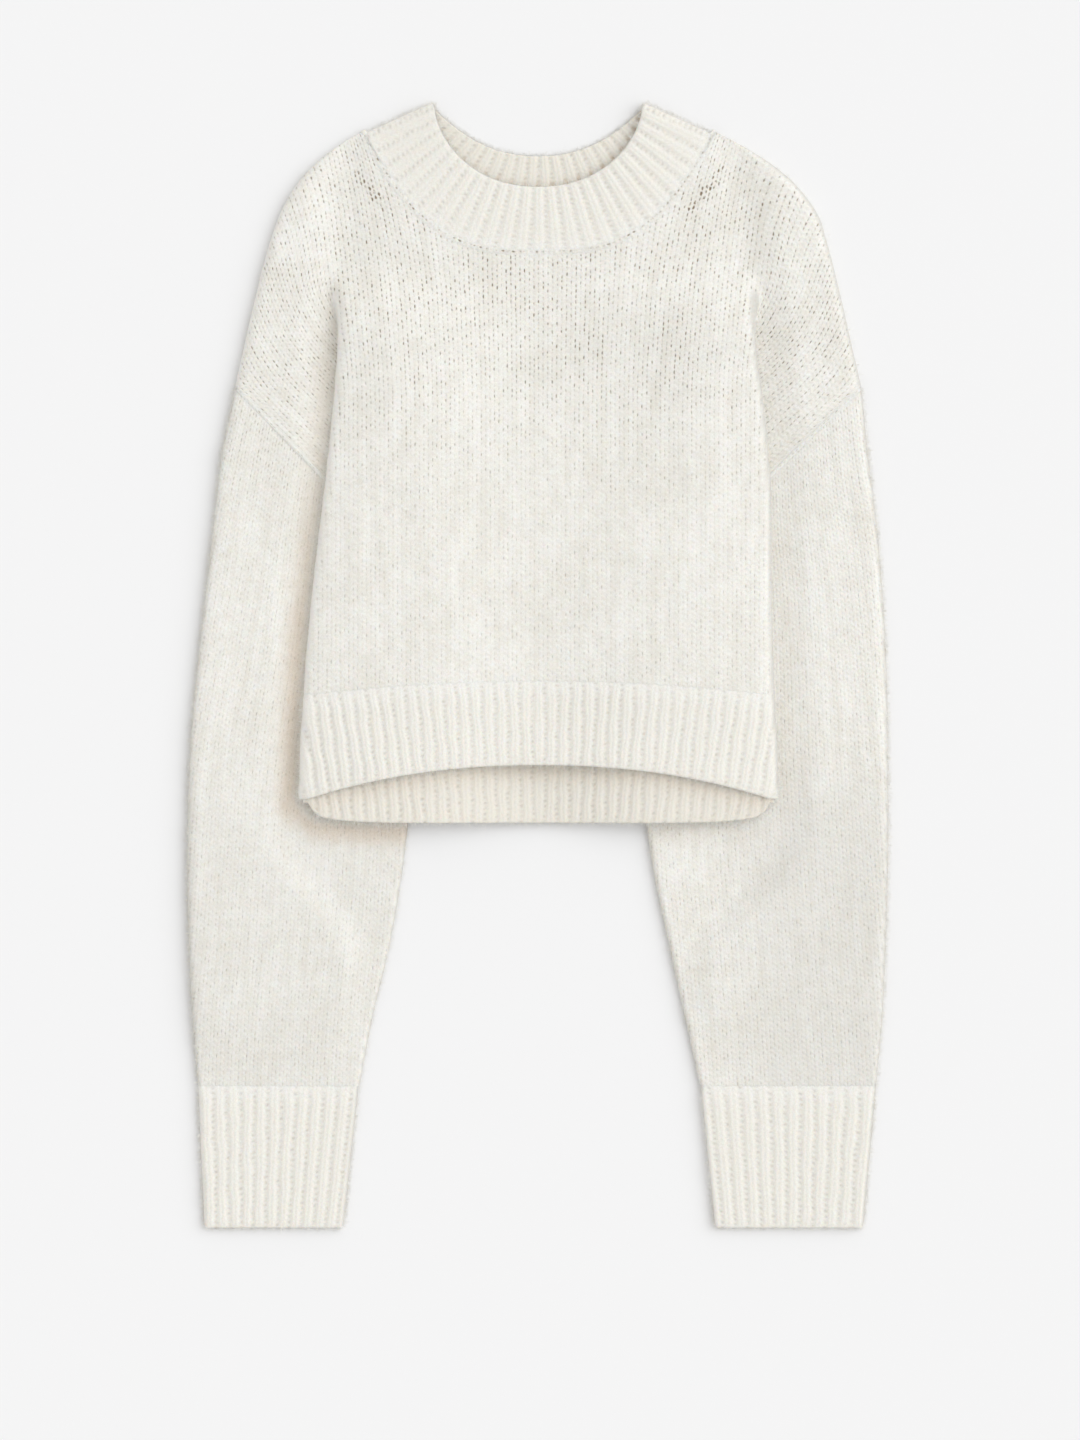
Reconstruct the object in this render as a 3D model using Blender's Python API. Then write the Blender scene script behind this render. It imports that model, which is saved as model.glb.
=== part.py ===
"""Cropped knit sweater with a ribbed crew neckband, hems and cuffs, laid flat on its back.

Metres, +Z up, +Y towards the neck, +X towards the wearer's left sleeve.  Z = 0 is the
surface that the sweater lies on.  The sizes and tables below are in millimetres.

The front and the back lie on each other as a pair of layers.  At each armhole the pair
makes one long pleat: it rolls under at the body's side edge, runs inwards as a flap, tucks
back at an inner fold and comes out again as the shoulder and the sleeve.  A pleat's
section is worked out at each height from the place of its edge, its turn and its leg.
"""

import math

import bmesh
import bpy
import numpy as np

MM = 0.001

# Fabric
WALL = 2.6            # thickness of the knitted fabric
AIR = 0.4             # between two layers that lie on each other
SEAM = 0.3            # between two pieces that are linked together
NECK_GAP = 0.55       # at the neck, where a panel's short chords meet the band's curve
RIB_RELIEF = 1.1      # how far a knit column of the ribbing stands proud

# Neck
NECK_HALF_WIDTH = 120.0
NECK_TOP = 370.0
FRONT_NECK_LOW = 290.0
BACK_NECK_LOW = 311.5
COLLAR_HALF_WIDTH = 72.0
COLLAR_TOP = 390.0
FRONT_COLLAR_LOW = 335.3
BACK_COLLAR_LOW = 357.4
NECK_CORNER = (120.7, 369.2)      # where a panel's neck curve ends
NECK_POINT = (123.4, 373.6)       # where the shoulder's outline begins
FRONT_NECK_RIBS = 25
BACK_NECK_RIBS = 22

# Body
UNDERARM = 58.8       # height of the underarm
HEM_RIBS = 39         # knit columns across what shows of one hem
CUFF_RIBS = 11        # knit columns across the front of one cuff
SAG = 0.35            # share of the pleat's height that is left at the body's centre
BODY_LIFT = 2.6       # air under the middle of the front
FRONT_STAY = 0.5      # share of the pair's sag that the front doesn't follow
SAG_TOP, STAY_TOP, SAG_FADE = 275.0, 235.0, 130.0     # heights where these two set in
PLUMP_ROUND = 9.0     # how far its rounded outer edge reaches in
SLEEVE_END = -295.0   # height where sleeve and cuff meet
SLEEVE_FLATTENS = 70.0  # length over which it lies down flat towards the cuff
PLUMP = 3.8           # how far a sleeve's front stands up from lying flat
EDGE_ROUND = 3.5      # how far a rounded edge reaches in

# The pleat opens at the shoulder and is shut from here down.
PLEAT_OPEN = 283.0
PLEAT_SHUT = 211.0

LAYER = WALL + AIR
HALF = LAYER / 2
TURN = LAYER
ROLL = math.pi * TURN
REST = WALL + AIR / 2
REACH = TURN + HALF + WALL / 2

# Height; where the roll begins on each side; length of the hidden leg.
PLEAT = (
    ("height", "left", "right", "leg"),
    (
        (-112.0, 162.0, 162.5, 72.0),
        (-93.0, 161.4, 162.0, 72.0),
        (19.0, 155.2, 157.5, 73.0),
        (58.8, 151.2, 157.0, 74.0),
        (138.0, 141.8, 155.5, 43.0),
        (166.0, 138.9, 153.0, 29.0),
        (195.0, 136.2, 149.5, 16.0),
        (211.0, 135.0, 147.0, 8.0),
        (228.0, 133.5, 145.0, 1.5),
        (264.0, 131.5, 141.0, 1.0),
        (374.0, 128.0, 128.0, 1.0),
    ),
)

# Height and half widths of the shoulder's outline, from the shoulder point to the neck.
SHOULDER = (
    ("height", "left", "right"),
    (
        (195.3, 211.8, 225.5),
        (221.0, 206.2, 219.5),
        (261.0, 197.0, 210.5),
        (298.0, 187.0, 201.0),
        (315.0, 181.0, 195.5),
        (330.4, 173.0, 185.0),
        (341.6, 165.0, 174.5),
        (352.8, 154.0, 160.0),
        (364.0, 139.5, 142.0),
        (373.6, 123.4, 123.4),
    ),
)

# A sleeve's rings below the armhole: heights and half widths of the outer and inner edge.
SLEEVE = (
    ("ring", "outer_height", "inner_height",
     "outer_left", "inner_left", "outer_right", "inner_right"),
    (
        (1, 148.0, 20.0, 221.5, 75.5, 230.5, 78.0),
        (2, 95.0, -10.0, 227.5, 76.5, 237.0, 77.0),
        (3, 30.0, -50.0, 235.0, 80.5, 242.0, 75.5),
        (4, -50.0, -95.0, 243.0, 89.0, 244.5, 74.0),
        (5, -130.0, -145.0, 245.5, 95.5, 244.5, 81.0),
        (6, -190.0, -195.0, 244.5, 104.0, 243.0, 91.5),
        (7, -245.0, -245.0, 242.0, 116.0, 240.5, 102.5),
        (8, -295.0, -295.0, 238.0, 125.5, 236.0, 113.5),
    ),
)
CUFF_HEIGHTS = (-295.0, -392.0)
CUFF_END = {"left": (233.5, 136.5), "right": (227.0, 123.5)}

COLLECTION = "cropped_knit_sweater"
SIDES = {"left": -1, "right": 1}
KNIT_COLOUR = (0.86, 0.83, 0.77, 1.0)
RIB_COLOUR = (0.83, 0.80, 0.73, 1.0)


def clear_scene():
    for thing in list(bpy.data.objects):
        bpy.data.objects.remove(thing, do_unlink=True)


def ease(t):
    """0 to 1 with a soft start and end."""
    t = min(max(t, 0.0), 1.0)
    return t * t * (3 - 2 * t)


def read(table, name, key):
    """A column's value at a key of the first column, on a smooth curve through the rows."""
    names, rows = table
    data = np.array(rows, dtype=float)
    keys = data[:, 0]
    values = data[:, names.index(name)]
    slopes = np.gradient(values, keys)
    key = min(max(key, keys[0]), keys[-1])
    low = min(int(np.searchsorted(keys, key, side="right")) - 1, len(keys) - 2)
    span = keys[low + 1] - keys[low]
    t = (key - keys[low]) / span
    start = (1 + 2 * t) * (1 - t) ** 2 * values[low] + t * (1 - t) ** 2 * span * slopes[low]
    end = t * t * (3 - 2 * t) * values[low + 1] + t * t * (t - 1) * span * slopes[low + 1]
    return start + end


# ---------------------------------------------------------------- the pleat's section


def pleat(side, height):
    """Sizes of the pleat's section at one height."""
    turn = max(math.pi * ease((PLEAT_OPEN - height) / (PLEAT_OPEN - PLEAT_SHUT)), 0.001)
    leg = read(PLEAT, "leg", height)
    radius = ROLL / turn
    rise = 2 * radius * (1 - math.cos(turn)) + leg * math.sin(turn)
    start = read(PLEAT, side, height)
    out = start + 2 * radius * math.sin(turn) + leg * math.cos(turn)
    return {"start": start, "turn": turn, "leg": leg, "radius": radius, "rise": rise, "out": out}


def sag(height):
    """Share of the pleat's height that is left at the body's centre: none near the neck."""
    return SAG * ease((SAG_TOP - height) / SAG_FADE)


def top_level(side, height, out):
    """Height of the middle of the upper pair: high over the pleat, lower at the centre."""
    section = pleat(side, height)
    high = section["start"] - section["leg"] - 4.0
    share = sag(height)
    return REST + section["rise"] * (share + (1 - share) * ease(out / high))


def roll_point(side, height, t):
    """Middle of the pair and its normal in the roll at the body's edge, t from 0 to 1."""
    s = pleat(side, height)
    angle = s["turn"] * t
    out = s["start"] + s["radius"] * math.sin(angle)
    level = REST + s["rise"] - s["radius"] * (1 - math.cos(angle))
    return out, level, math.sin(angle), math.cos(angle)


def leg_point(side, height, t):
    """The same in the straight leg that runs inwards under the body."""
    s = pleat(side, height)
    out, level, across, up = roll_point(side, height, 1.0)
    return out + t * s["leg"] * up, level - t * s["leg"] * across, across, up


def tuck_point(side, height, t):
    """The same in the inner fold, where the pair turns outwards again."""
    s = pleat(side, height)
    out, level, across, up = leg_point(side, height, 1.0)
    angle = s["turn"] * (1 - t)
    out += s["radius"] * (across - math.sin(angle))
    level -= s["radius"] * (math.cos(angle) - up)
    return out, level, math.sin(angle), math.cos(angle)


def armhole(side, height):
    """Half width of the straight armhole seam at a height below the shoulder point."""
    point_height, point_out = SHOULDER[1][0][0], read(SHOULDER, side, 0)
    base_out = pleat(side, UNDERARM)["out"] + 2.0
    t = (height - UNDERARM) / (point_height - UNDERARM)
    return base_out + t * (point_out - base_out)


def outline(side, count=60):
    """Points down the shoulder's outline with their share of its length."""
    heights = np.linspace(SHOULDER[1][-1][0], SHOULDER[1][0][0], count)
    outs = np.array([read(SHOULDER, side, h) for h in heights])
    steps = np.hypot(np.diff(heights), np.diff(outs))
    return heights, outs, np.concatenate([[0.0], np.cumsum(steps)])


def outer_edge(side, height):
    """Half width of the outermost edge: the shoulder's outline, then the sleeve's."""
    if height >= SHOULDER[1][0][0]:
        return read(SHOULDER, side, height)
    rows = np.array(SLEEVE[1])
    names = SLEEVE[0]
    heights = [SHOULDER[1][0][0]] + list(rows[:, names.index("outer_height")])
    outs = [SHOULDER[1][0][SHOULDER[0].index(side)]] + list(rows[:, names.index("outer_" + side)])
    return float(np.interp(-height, [-h for h in heights], outs))


def sleeve_inner(side, height):
    rows = np.array(SLEEVE[1])
    names = SLEEVE[0]
    heights = -rows[:, names.index("inner_height")]
    return float(np.interp(-height, heights, rows[:, names.index("inner_" + side)]))


def plump(side, out, height):
    """Extra height of the upper layer of shoulder and sleeve, clear of the body's edge."""
    edge = pleat(side, height)["start"] + REACH
    below = ease((-112.0 - height) / 110.0)
    inner = edge + below * (sleeve_inner(side, height) - edge)
    flat = ease((height - SLEEVE_END) / SLEEVE_FLATTENS)
    away = min(max((outer_edge(side, height) - out) / PLUMP_ROUND, 0.0), 1.0)
    return PLUMP * flat * ease((out - inner) / 30) * math.sqrt(away * (2 - away))


def lift(side, out, height):
    """Extra height of the front over the back between the two rolls."""
    section = pleat(side, height)
    high = section["start"] - section["leg"] - 4.0
    sagged = (1 - sag(height)) * section["rise"] * (1 - ease(out / high))
    stay = FRONT_STAY * ease((STAY_TOP - height) / SAG_FADE)
    return BODY_LIFT * (1 - min(out / section["start"], 1.0) ** 8) + stay * sagged


# ---------------------------------------------------------------- neck curves


def neck_share(across, shape, t=0.0):
    """How far a row of the neck has risen, 0 to 1, at a share of its half width."""
    power, roundness = (a + t * (b - a) for a, b in (shape["power"], shape["round"]))
    return 1 - max(1 - min(across, 1.0) ** power, 0.0) ** roundness


NECK_SHAPE = {
    "front": {"low": FRONT_NECK_LOW, "collar_low": FRONT_COLLAR_LOW,
              "power": (3.0, 2.2), "round": (1.0, 0.6)},
    "back": {"low": BACK_NECK_LOW, "collar_low": BACK_COLLAR_LOW,
             "power": (2.2, 2.2), "round": (1.0, 1.0)},
}


def top_of(side, layer, out):
    """Height where a panel ends above a half width: at the neck or at the shoulder."""
    shape = NECK_SHAPE[layer]
    corner_out, corner_height = NECK_CORNER
    point_out, point_height = NECK_POINT
    if out <= corner_out:
        low = shape["low"] - NECK_GAP
        return low + (corner_height - low) * neck_share(out / corner_out, shape)
    if out <= point_out:
        t = (out - corner_out) / (point_out - corner_out)
        return corner_height + t * (point_height - corner_height)
    heights, outs, _ = outline(side)
    return float(np.interp(out, outs, heights))


# ---------------------------------------------------------------- walls


def wall(name, upper, lower, colour, ring=False, present=None):
    """One closed solid between two grids of points, joined round every free edge."""
    rows, cols = upper.shape[:2]
    last = cols if ring else cols - 1
    cells = [(r, c) for r in range(rows - 1) for c in range(last)]
    if present is not None:
        cells = [cell for cell in cells if present(*cell)]
    index, points, faces, rims = {}, [], [], set()

    def corner(grid, key, r, c):
        place = (key, r, c)
        if place not in index:
            index[place] = len(points)
            points.append(grid[r, c] * MM)
        return index[place]

    for r, c in cells:
        d = (c + 1) % cols
        loop = [(r, c), (r, d), (r + 1, d), (r + 1, c)]
        for picks in ((0, 1, 2), (0, 2, 3)):
            faces.append([corner(upper, "u", *loop[i]) for i in picks])
            faces.append([corner(lower, "l", *loop[i]) for i in reversed(picks)])
        for a, b in zip(loop, loop[1:] + loop[:1]):
            rims.add((a, b))
    for a, b in sorted(rims):
        if (b, a) not in rims:
            first = [corner(upper, "u", *b), corner(upper, "u", *a), corner(lower, "l", *a)]
            second = [corner(upper, "u", *b), corner(lower, "l", *a), corner(lower, "l", *b)]
            faces += [first, second]
    mesh = bpy.data.meshes.new(name)
    mesh.from_pydata([tuple(p) for p in points], [], faces)
    thing = bpy.data.objects.new(name, mesh)
    bpy.data.collections[COLLECTION].objects.link(thing)
    outward(thing)
    mesh.shade_smooth()
    mesh.set_sharp_from_angle(angle=math.radians(40))
    mesh.materials.append(material(name, colour))
    return thing


def outward(thing):
    """Turns every face of a closed mesh outwards."""
    mesh = bmesh.new()
    mesh.from_mesh(thing.data)
    bmesh.ops.recalc_face_normals(mesh, faces=mesh.faces)
    if mesh.calc_volume(signed=True) < 0:
        bmesh.ops.reverse_faces(mesh, faces=mesh.faces)
    mesh.to_mesh(thing.data)
    mesh.free()


def material(name, colour):
    made = bpy.data.materials.new(name + "_knit")
    made.use_nodes = True
    shader = made.node_tree.nodes["Principled BSDF"]
    shader.inputs["Base Color"].default_value = colour
    shader.inputs["Roughness"].default_value = 0.95
    shader.inputs["Metallic"].default_value = 0.0
    return made


# ---------------------------------------------------------------- panels and hems

BODY_SHARES = (0.0, 0.1, 0.2, 0.3, 0.4, 0.5, 0.6, 0.69, 0.77, 0.84, 0.9)
ROLL_STEPS = 5
LEG_STEPS = 3
SHOULDER_STEPS = 4


def panel_columns():
    """The columns of one half of a panel, from the centre to the armhole."""
    roll_start = read(PLEAT, "left", NECK_POINT[1])
    columns = [("body", share) for share in BODY_SHARES]
    columns += [("body", place[0] / roll_start) for place in (NECK_CORNER, NECK_POINT)]
    columns += [("body", 1.0)]
    columns += [("roll", (i + 1) / ROLL_STEPS) for i in range(ROLL_STEPS)]
    columns += [("leg", (i + 1) / LEG_STEPS) for i in range(LEG_STEPS)]
    columns += [("tuck", (i + 1) / ROLL_STEPS) for i in range(ROLL_STEPS)]
    columns += [("shoulder", (i + 1) / SHOULDER_STEPS) for i in range(SHOULDER_STEPS)]
    return columns


def pair_point(side, height, zone, share):
    """Middle of the pair of layers and its normal: half width, level, across, up."""
    if zone == "body":
        out = share * read(PLEAT, side, height)
        return out, top_level(side, height, out), 0.0, 1.0
    if zone == "roll":
        return roll_point(side, height, share)
    if zone == "leg":
        return leg_point(side, height, share)
    if zone == "tuck":
        return tuck_point(side, height, share)
    start = pleat(side, height)["out"]
    if height <= SHOULDER[1][0][0]:
        end, whole = armhole(side, height), 1.0
    else:
        end, whole = read(SHOULDER, side, height), shoulder_share(side, height)
    return start + share / whole * (end - start), REST, 0.0, 1.0


def shoulder_share(side, height):
    """Share of the outline, from the pleat's end to the shoulder point, above a height."""
    heights, outs, lengths = outline(side)
    begin = np.interp(shoulder_begin(side), outs, lengths)
    here = np.interp(-height, -heights, lengths)
    return max((here - begin) / (lengths[-1] - begin), 1e-6)


def shoulder_begin(side):
    """Half width where the pleat's last column meets the outline."""
    height = NECK_POINT[1]
    for _ in range(20):
        height = top_of(side, "front", pleat(side, height)["out"])
    return pleat(side, height)["out"]


def column_top(side, layer, zone, share):
    """Height where a column of a panel ends."""
    if zone == "shoulder":
        heights, outs, lengths = outline(side)
        begin = np.interp(shoulder_begin(side), outs, lengths)
        return float(np.interp(begin + share * (lengths[-1] - begin), lengths, heights))
    height = NECK_POINT[1]
    if zone == "body" and abs(share * read(PLEAT, side, height) - NECK_POINT[0]) < 0.01:
        return height
    for _ in range(20):
        height = top_of(side, layer, pair_point(side, height, zone, share)[0])
    return height


def hem_seam(side, layer, zone, share):
    """Height of the seam between a panel and its hem."""
    across = share if zone == "body" else 1.0
    if layer == "front":
        return -12.6 - 9.4 * across ** 2
    return -47.0 + 25.0 * across ** 2


def hem_edge(side, layer, zone, share):
    """Height of a hem's lower edge."""
    across = share if zone == "body" else 1.0
    if layer == "front":
        return -68.6 - 23.4 * across ** 2.2
    return -109.0 + 5.5 * across ** 7 + 8.5 * across ** 40


def layer_point(side, layer, height, zone, share, thick):
    """Outer and inner point of one layer, as x, y, z, for a share of its thickness."""
    out, level, across, up = pair_point(side, height, zone, share)
    sign = 1 if layer == "front" else -1
    extra = 0.0
    if layer == "front" and zone == "body":
        extra = lift(side, out, height)
    if layer == "front" and zone == "shoulder":
        extra = plump(side, out, height)
    inner = sign * AIR / 2 + extra
    outer = inner + sign * WALL * thick
    flip = SIDES[side]
    return [
        np.array((flip * (out + across * far), height, level + up * far)) for far in (outer, inner)
    ]


PANEL_LOW = (0.0, 0.35, 0.7)
PANEL_HIGH = (0.0, 0.13, 0.25, 0.36, 0.45, 0.52, 0.59, 0.66, 0.73, 0.80, 0.90)
EDGE_DROPS = (EDGE_ROUND, 1.2, 0.0)
EDGE_THICKNESS = (1.0, 0.78, 0.3)


def panel(layer):
    columns = panel_columns()
    joined = [("left", c) for c in reversed(columns[1:])] + [("right", c) for c in columns]
    rows = len(PANEL_LOW) + len(PANEL_HIGH) + len(EDGE_DROPS)
    outer = np.zeros((rows, len(joined), 3))
    inner = np.zeros_like(outer)
    for c, (side, (zone, share)) in enumerate(joined):
        top = column_top(side, layer, zone, share)
        common = min(column_top(side, each, zone, share) for each in NECK_SHAPE)
        low = hem_seam(side, layer, zone, share) + SEAM / 2
        heights = [low + t * (UNDERARM - low) for t in PANEL_LOW]
        heights += [UNDERARM + t * (common - EDGE_ROUND - UNDERARM) for t in PANEL_HIGH]
        heights += [top - drop for drop in EDGE_DROPS]
        on_neck = zone == "body" and share * read(PLEAT, side, top) < NECK_POINT[0] - 0.5
        for r, height in enumerate(heights):
            edge = r - (rows - len(EDGE_DROPS))
            thick = EDGE_THICKNESS[edge] if edge >= 0 and not on_neck else 1.0
            if zone == "shoulder" and share == 1.0:
                thick = 1.0
            outer[r, c], inner[r, c] = layer_point(side, layer, height, zone, share, thick)
    hidden = ROLL_STEPS + SHOULDER_STEPS

    def present(r, c):
        return r >= len(PANEL_LOW) or hidden <= c < len(joined) - 1 - hidden

    return wall(layer + "_panel", outer, inner, KNIT_COLOUR, present=present)


# Rows of a hem or cuff, from its seam to its edge, with the wall's share of thickness.
BAND_ROWS = (0.0, 0.5, 0.985, 1.0)
BAND_THICKNESS = (1.0, 1.0, 1.0, 0.6)
RIB_GROWTH = (0.4, 1.0, 1.0, 0.5)


def hem_columns():
    """Half a hem's columns: two to a rib where it shows, then the roll and the hidden leg."""
    columns = [("body", i / HEM_RIBS) for i in range(HEM_RIBS + 1)]
    columns += [("roll", (i + 1) / ROLL_STEPS) for i in range(ROLL_STEPS)]
    columns += [("leg", (i + 1) / LEG_STEPS) for i in range(LEG_STEPS)]
    return columns


def hem(layer):
    """A ribbed welt below a panel; its ribs stand up on the face that shows."""
    half = [(zone, share, i) for i, (zone, share) in enumerate(hem_columns())]
    joined = [("left", c) for c in reversed(half[1:])] + [("right", c) for c in half]
    outer = np.zeros((len(BAND_ROWS), len(joined), 3))
    inner = np.zeros_like(outer)
    for c, (side, (zone, share, number)) in enumerate(joined):
        high = hem_seam(side, layer, zone, share) - SEAM / 2
        low = hem_edge(side, layer, zone, share)
        for r, t in enumerate(BAND_ROWS):
            height = high + t * (low - high)
            place = (side, layer, height, zone, share, BAND_THICKNESS[r])
            outer[r, c], inner[r, c] = layer_point(*place)
            if zone == "body" and number % 2 == 0 and share < 0.97:
                if layer == "front":
                    outer[r, c, 2] += RIB_RELIEF * RIB_GROWTH[r]
                elif r > 1:
                    inner[r, c, 2] += RIB_RELIEF * RIB_GROWTH[r] * ease((1 - share) * 8)
    return wall(layer + "_hem", outer, inner, RIB_COLOUR)


# ---------------------------------------------------------------- sleeves and cuffs

TUBE_FRONT = (0.0, 0.12, 0.3, 0.5, 0.7, 0.88, 1.0)
TUBE_BACK = (1.0, 0.5, 0.0)
TUBE_TURN_STEPS = 5
SLEEVE_ROWS = 17


def sleeve_edges(side, t):
    """Outer and inner edge of a sleeve, t from 0 at the armhole to 1 at the cuff."""
    names, rows = SLEEVE
    base = pleat(side, UNDERARM)["out"] + 2.0
    point_out, point_height = read(SHOULDER, side, 0), SHOULDER[1][0][0]
    run = np.array((base - point_out, UNDERARM - point_height))
    run /= np.hypot(*run)
    away = np.array((-run[1], run[0]))
    top = np.array((point_out, point_height)) + SEAM * away
    bottom = np.array((base, UNDERARM)) + 6.0 * run + SEAM * away
    first = (0, top[1], bottom[1], 0.0, 0.0, 0.0, 0.0)
    table = [list(first)] + [list(row) for row in rows]
    table[0][names.index("outer_" + side)] = top[0]
    table[0][names.index("inner_" + side)] = bottom[0]
    ring = t * (len(table) - 1)
    table = (names, table)
    outer = (read(table, "outer_" + side, ring), read(table, "outer_height", ring))
    inner = (read(table, "inner_" + side, ring), read(table, "inner_height", ring))
    return np.array(outer), np.array(inner)


def tube_ring(side, outer_edge_at, inner_edge_at, front_shares, thick=1.0, ribs=0.0):
    """One ring of a flat tube: its outer and inner points all round."""
    across = inner_edge_at - outer_edge_at
    width = np.hypot(*across)
    across = across / width
    half_pitch = HALF + WALL / 2
    start, end = outer_edge_at + across * half_pitch, inner_edge_at - across * half_pitch
    flip = SIDES[side]
    outers, inners = [], []

    def add(plan, around, up, extra=0.0):
        for points, far in ((outers, AIR / 2 + WALL * thick), (inners, AIR / 2)):
            out, height = plan + around * across * far
            points.append((flip * out, height, REST + up * far + extra))

    for number, share in enumerate(front_shares):
        plan = start + share * (end - start)
        extra = plump(side, plan[0], plan[1])
        add(plan, 0.0, 1.0, extra)
        if number % 2 == 1:
            outers[-1] = outers[-1][:2] + (outers[-1][2] + ribs,)
    for i in range(1, TUBE_TURN_STEPS):
        angle = math.pi * i / TUBE_TURN_STEPS
        add(end, math.sin(angle), math.cos(angle))
    for share in TUBE_BACK:
        add(start + share * (end - start), 0.0, -1.0)
    for i in range(1, TUBE_TURN_STEPS):
        angle = math.pi * i / TUBE_TURN_STEPS
        add(start, -math.sin(angle), -math.cos(angle))
    return outers, inners


def sleeve(side):
    rings = [tube_ring(side, *sleeve_edges(side, i / (SLEEVE_ROWS - 1)), TUBE_FRONT)
             for i in range(SLEEVE_ROWS)]
    outer, inner = (np.array([ring[i] for ring in rings]) for i in (0, 1))
    return wall("sleeve_" + side, outer, inner, KNIT_COLOUR, ring=True)


def cuff(side):
    """A ribbed tube below the sleeve."""
    outer_top, inner_top = sleeve_edges(side, 1.0)
    outer_top, inner_top = outer_top - (0, SEAM), inner_top - (0, SEAM)
    outer_end, inner_end = (np.array((out, CUFF_HEIGHTS[1])) for out in CUFF_END[side])
    shares = [i / (2 * CUFF_RIBS) for i in range(2 * CUFF_RIBS + 1)]
    rings = []
    for t, thick, growth in zip(BAND_ROWS, BAND_THICKNESS, RIB_GROWTH):
        edges = (outer_top + t * (outer_end - outer_top), inner_top + t * (inner_end - inner_top))
        rings.append(tube_ring(side, *edges, shares, thick, RIB_RELIEF * growth))
    outer, inner = (np.array([ring[i] for ring in rings]) for i in (0, 1))
    return wall("cuff_" + side, outer, inner, RIB_COLOUR, ring=True)


# ---------------------------------------------------------------- neckband

COLLAR_ROWS = (0.0, 0.5, 0.975, 1.0)
COLLAR_THICKNESS = (1.0, 1.0, 1.0, 0.6)
COLLAR_TURN_STEPS = 8
COLLAR_END_LEVEL = 8.0
COLLAR_MIDDLE_LEVEL = 6.6


def neck_curve(layer, t, count=160):
    """Points along the band at a share t of its width, evenly spaced from left to right."""
    shape = NECK_SHAPE[layer]
    half_width = NECK_HALF_WIDTH + t * (COLLAR_HALF_WIDTH - NECK_HALF_WIDTH)
    top = NECK_TOP + t * (COLLAR_TOP - NECK_TOP)
    low = shape["low"] + t * (shape["collar_low"] - shape["low"])
    xs = -half_width * np.cos(np.linspace(0.0, math.pi, count))
    ys = np.array([low + (top - low) * neck_share(abs(x) / half_width, shape, t) for x in xs])
    lengths = np.concatenate([[0.0], np.cumsum(np.hypot(np.diff(xs), np.diff(ys)))])
    return lambda s: np.array((np.interp(s * lengths[-1], lengths, xs),
                               np.interp(s * lengths[-1], lengths, ys)))


def collar_level(t, s, plan):
    """Height of the middle of the front of the band."""
    side = "left" if plan[0] < 0 else "right"
    seam_level = REST + HALF + lift(side, abs(plan[0]), plan[1])
    middle = math.sin(math.pi * s) ** 2
    end_level = COLLAR_END_LEVEL + middle * (COLLAR_MIDDLE_LEVEL - COLLAR_END_LEVEL)
    return seam_level + t * (end_level - seam_level)


def collar_row(t, thick):
    """One row of the band all round: front, right turn, back, left turn."""
    front, back = neck_curve("front", t), neck_curve("back", t)
    seam = neck_curve("front", 0.0)
    back_level = REST - HALF
    outers, inners = [], []

    def add(plan, level, normal, outside, inside):
        base = np.array((plan[0], plan[1], level))
        outers.append(base + normal * (WALL * (thick - 0.5) + outside))
        inners.append(base - normal * (WALL / 2 + inside))

    up = np.array((0.0, 0.0, 1.0))
    growth = min(1.0, 0.4 + t)
    for i in range(2 * FRONT_NECK_RIBS + 1):
        s = i / (2 * FRONT_NECK_RIBS)
        rib = RIB_RELIEF * growth * (i % 2) * thick
        add(front(s), collar_level(t, s, seam(s)), up, rib, 0.0)
    for i in range(1, COLLAR_TURN_STEPS):
        add(*collar_turn(front(1.0), collar_level(t, 1.0, seam(1.0)), 1, i), 0.0, 0.0)
    for i in range(2 * BACK_NECK_RIBS + 1):
        s = 1 - i / (2 * BACK_NECK_RIBS)
        room = collar_level(t, s, seam(s)) - back_level - WALL - AIR
        rib = min(RIB_RELIEF, max(room, 0.0)) * (i % 2) * t
        add(back(s), back_level, -up, 0.0, rib)
    for i in range(COLLAR_TURN_STEPS - 1, 0, -1):
        add(*collar_turn(front(0.0), collar_level(t, 0.0, seam(0.0)), -1, i), 0.0, 0.0)
    return outers, inners


def collar_turn(pivot, front_level, flip, step):
    """Middle and normal of the band where it turns from the front to the back."""
    angle = math.pi * step / COLLAR_TURN_STEPS
    back_level = REST - HALF
    radius = (front_level - back_level) / 2
    run = np.array((COLLAR_HALF_WIDTH - NECK_HALF_WIDTH, COLLAR_TOP - NECK_TOP))
    run /= np.hypot(*run)
    out = np.array((flip * run[1], -run[0]))
    normal = np.array((out[0] * math.sin(angle), out[1] * math.sin(angle), math.cos(angle)))
    return pivot + radius * normal[:2], back_level + radius * (1 + normal[2]), normal


def neckband():
    rows = [collar_row(t, thick) for t, thick in zip(COLLAR_ROWS, COLLAR_THICKNESS)]
    outer, inner = (np.array([row[i] for row in rows]) for i in (0, 1))
    return wall("neckband", outer, inner, RIB_COLOUR, ring=True)


def main():
    clear_scene()
    collection = bpy.data.collections.new(COLLECTION)
    bpy.context.scene.collection.children.link(collection)
    for layer in NECK_SHAPE:
        panel(layer)
        hem(layer)
    for side in SIDES:
        sleeve(side)
        cuff(side)
    neckband()


main()
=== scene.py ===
# %% [markdown]
# # A cropped knit sweater, laid flat
# A sweater is knitted to shape as flat pieces and tubes, and the pieces are then linked
# together.  This lesson does the same: each piece is a grid whose columns are the wales of
# the knitting (the upright rows of stitches) and whose rows are its courses.  A function
# then lays the grid down the way the garment lies, folds included.  The frame holds the
# plain solids of the same pieces, and each knitted piece here takes the place of one.

# %% Load the frame
import math

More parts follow.
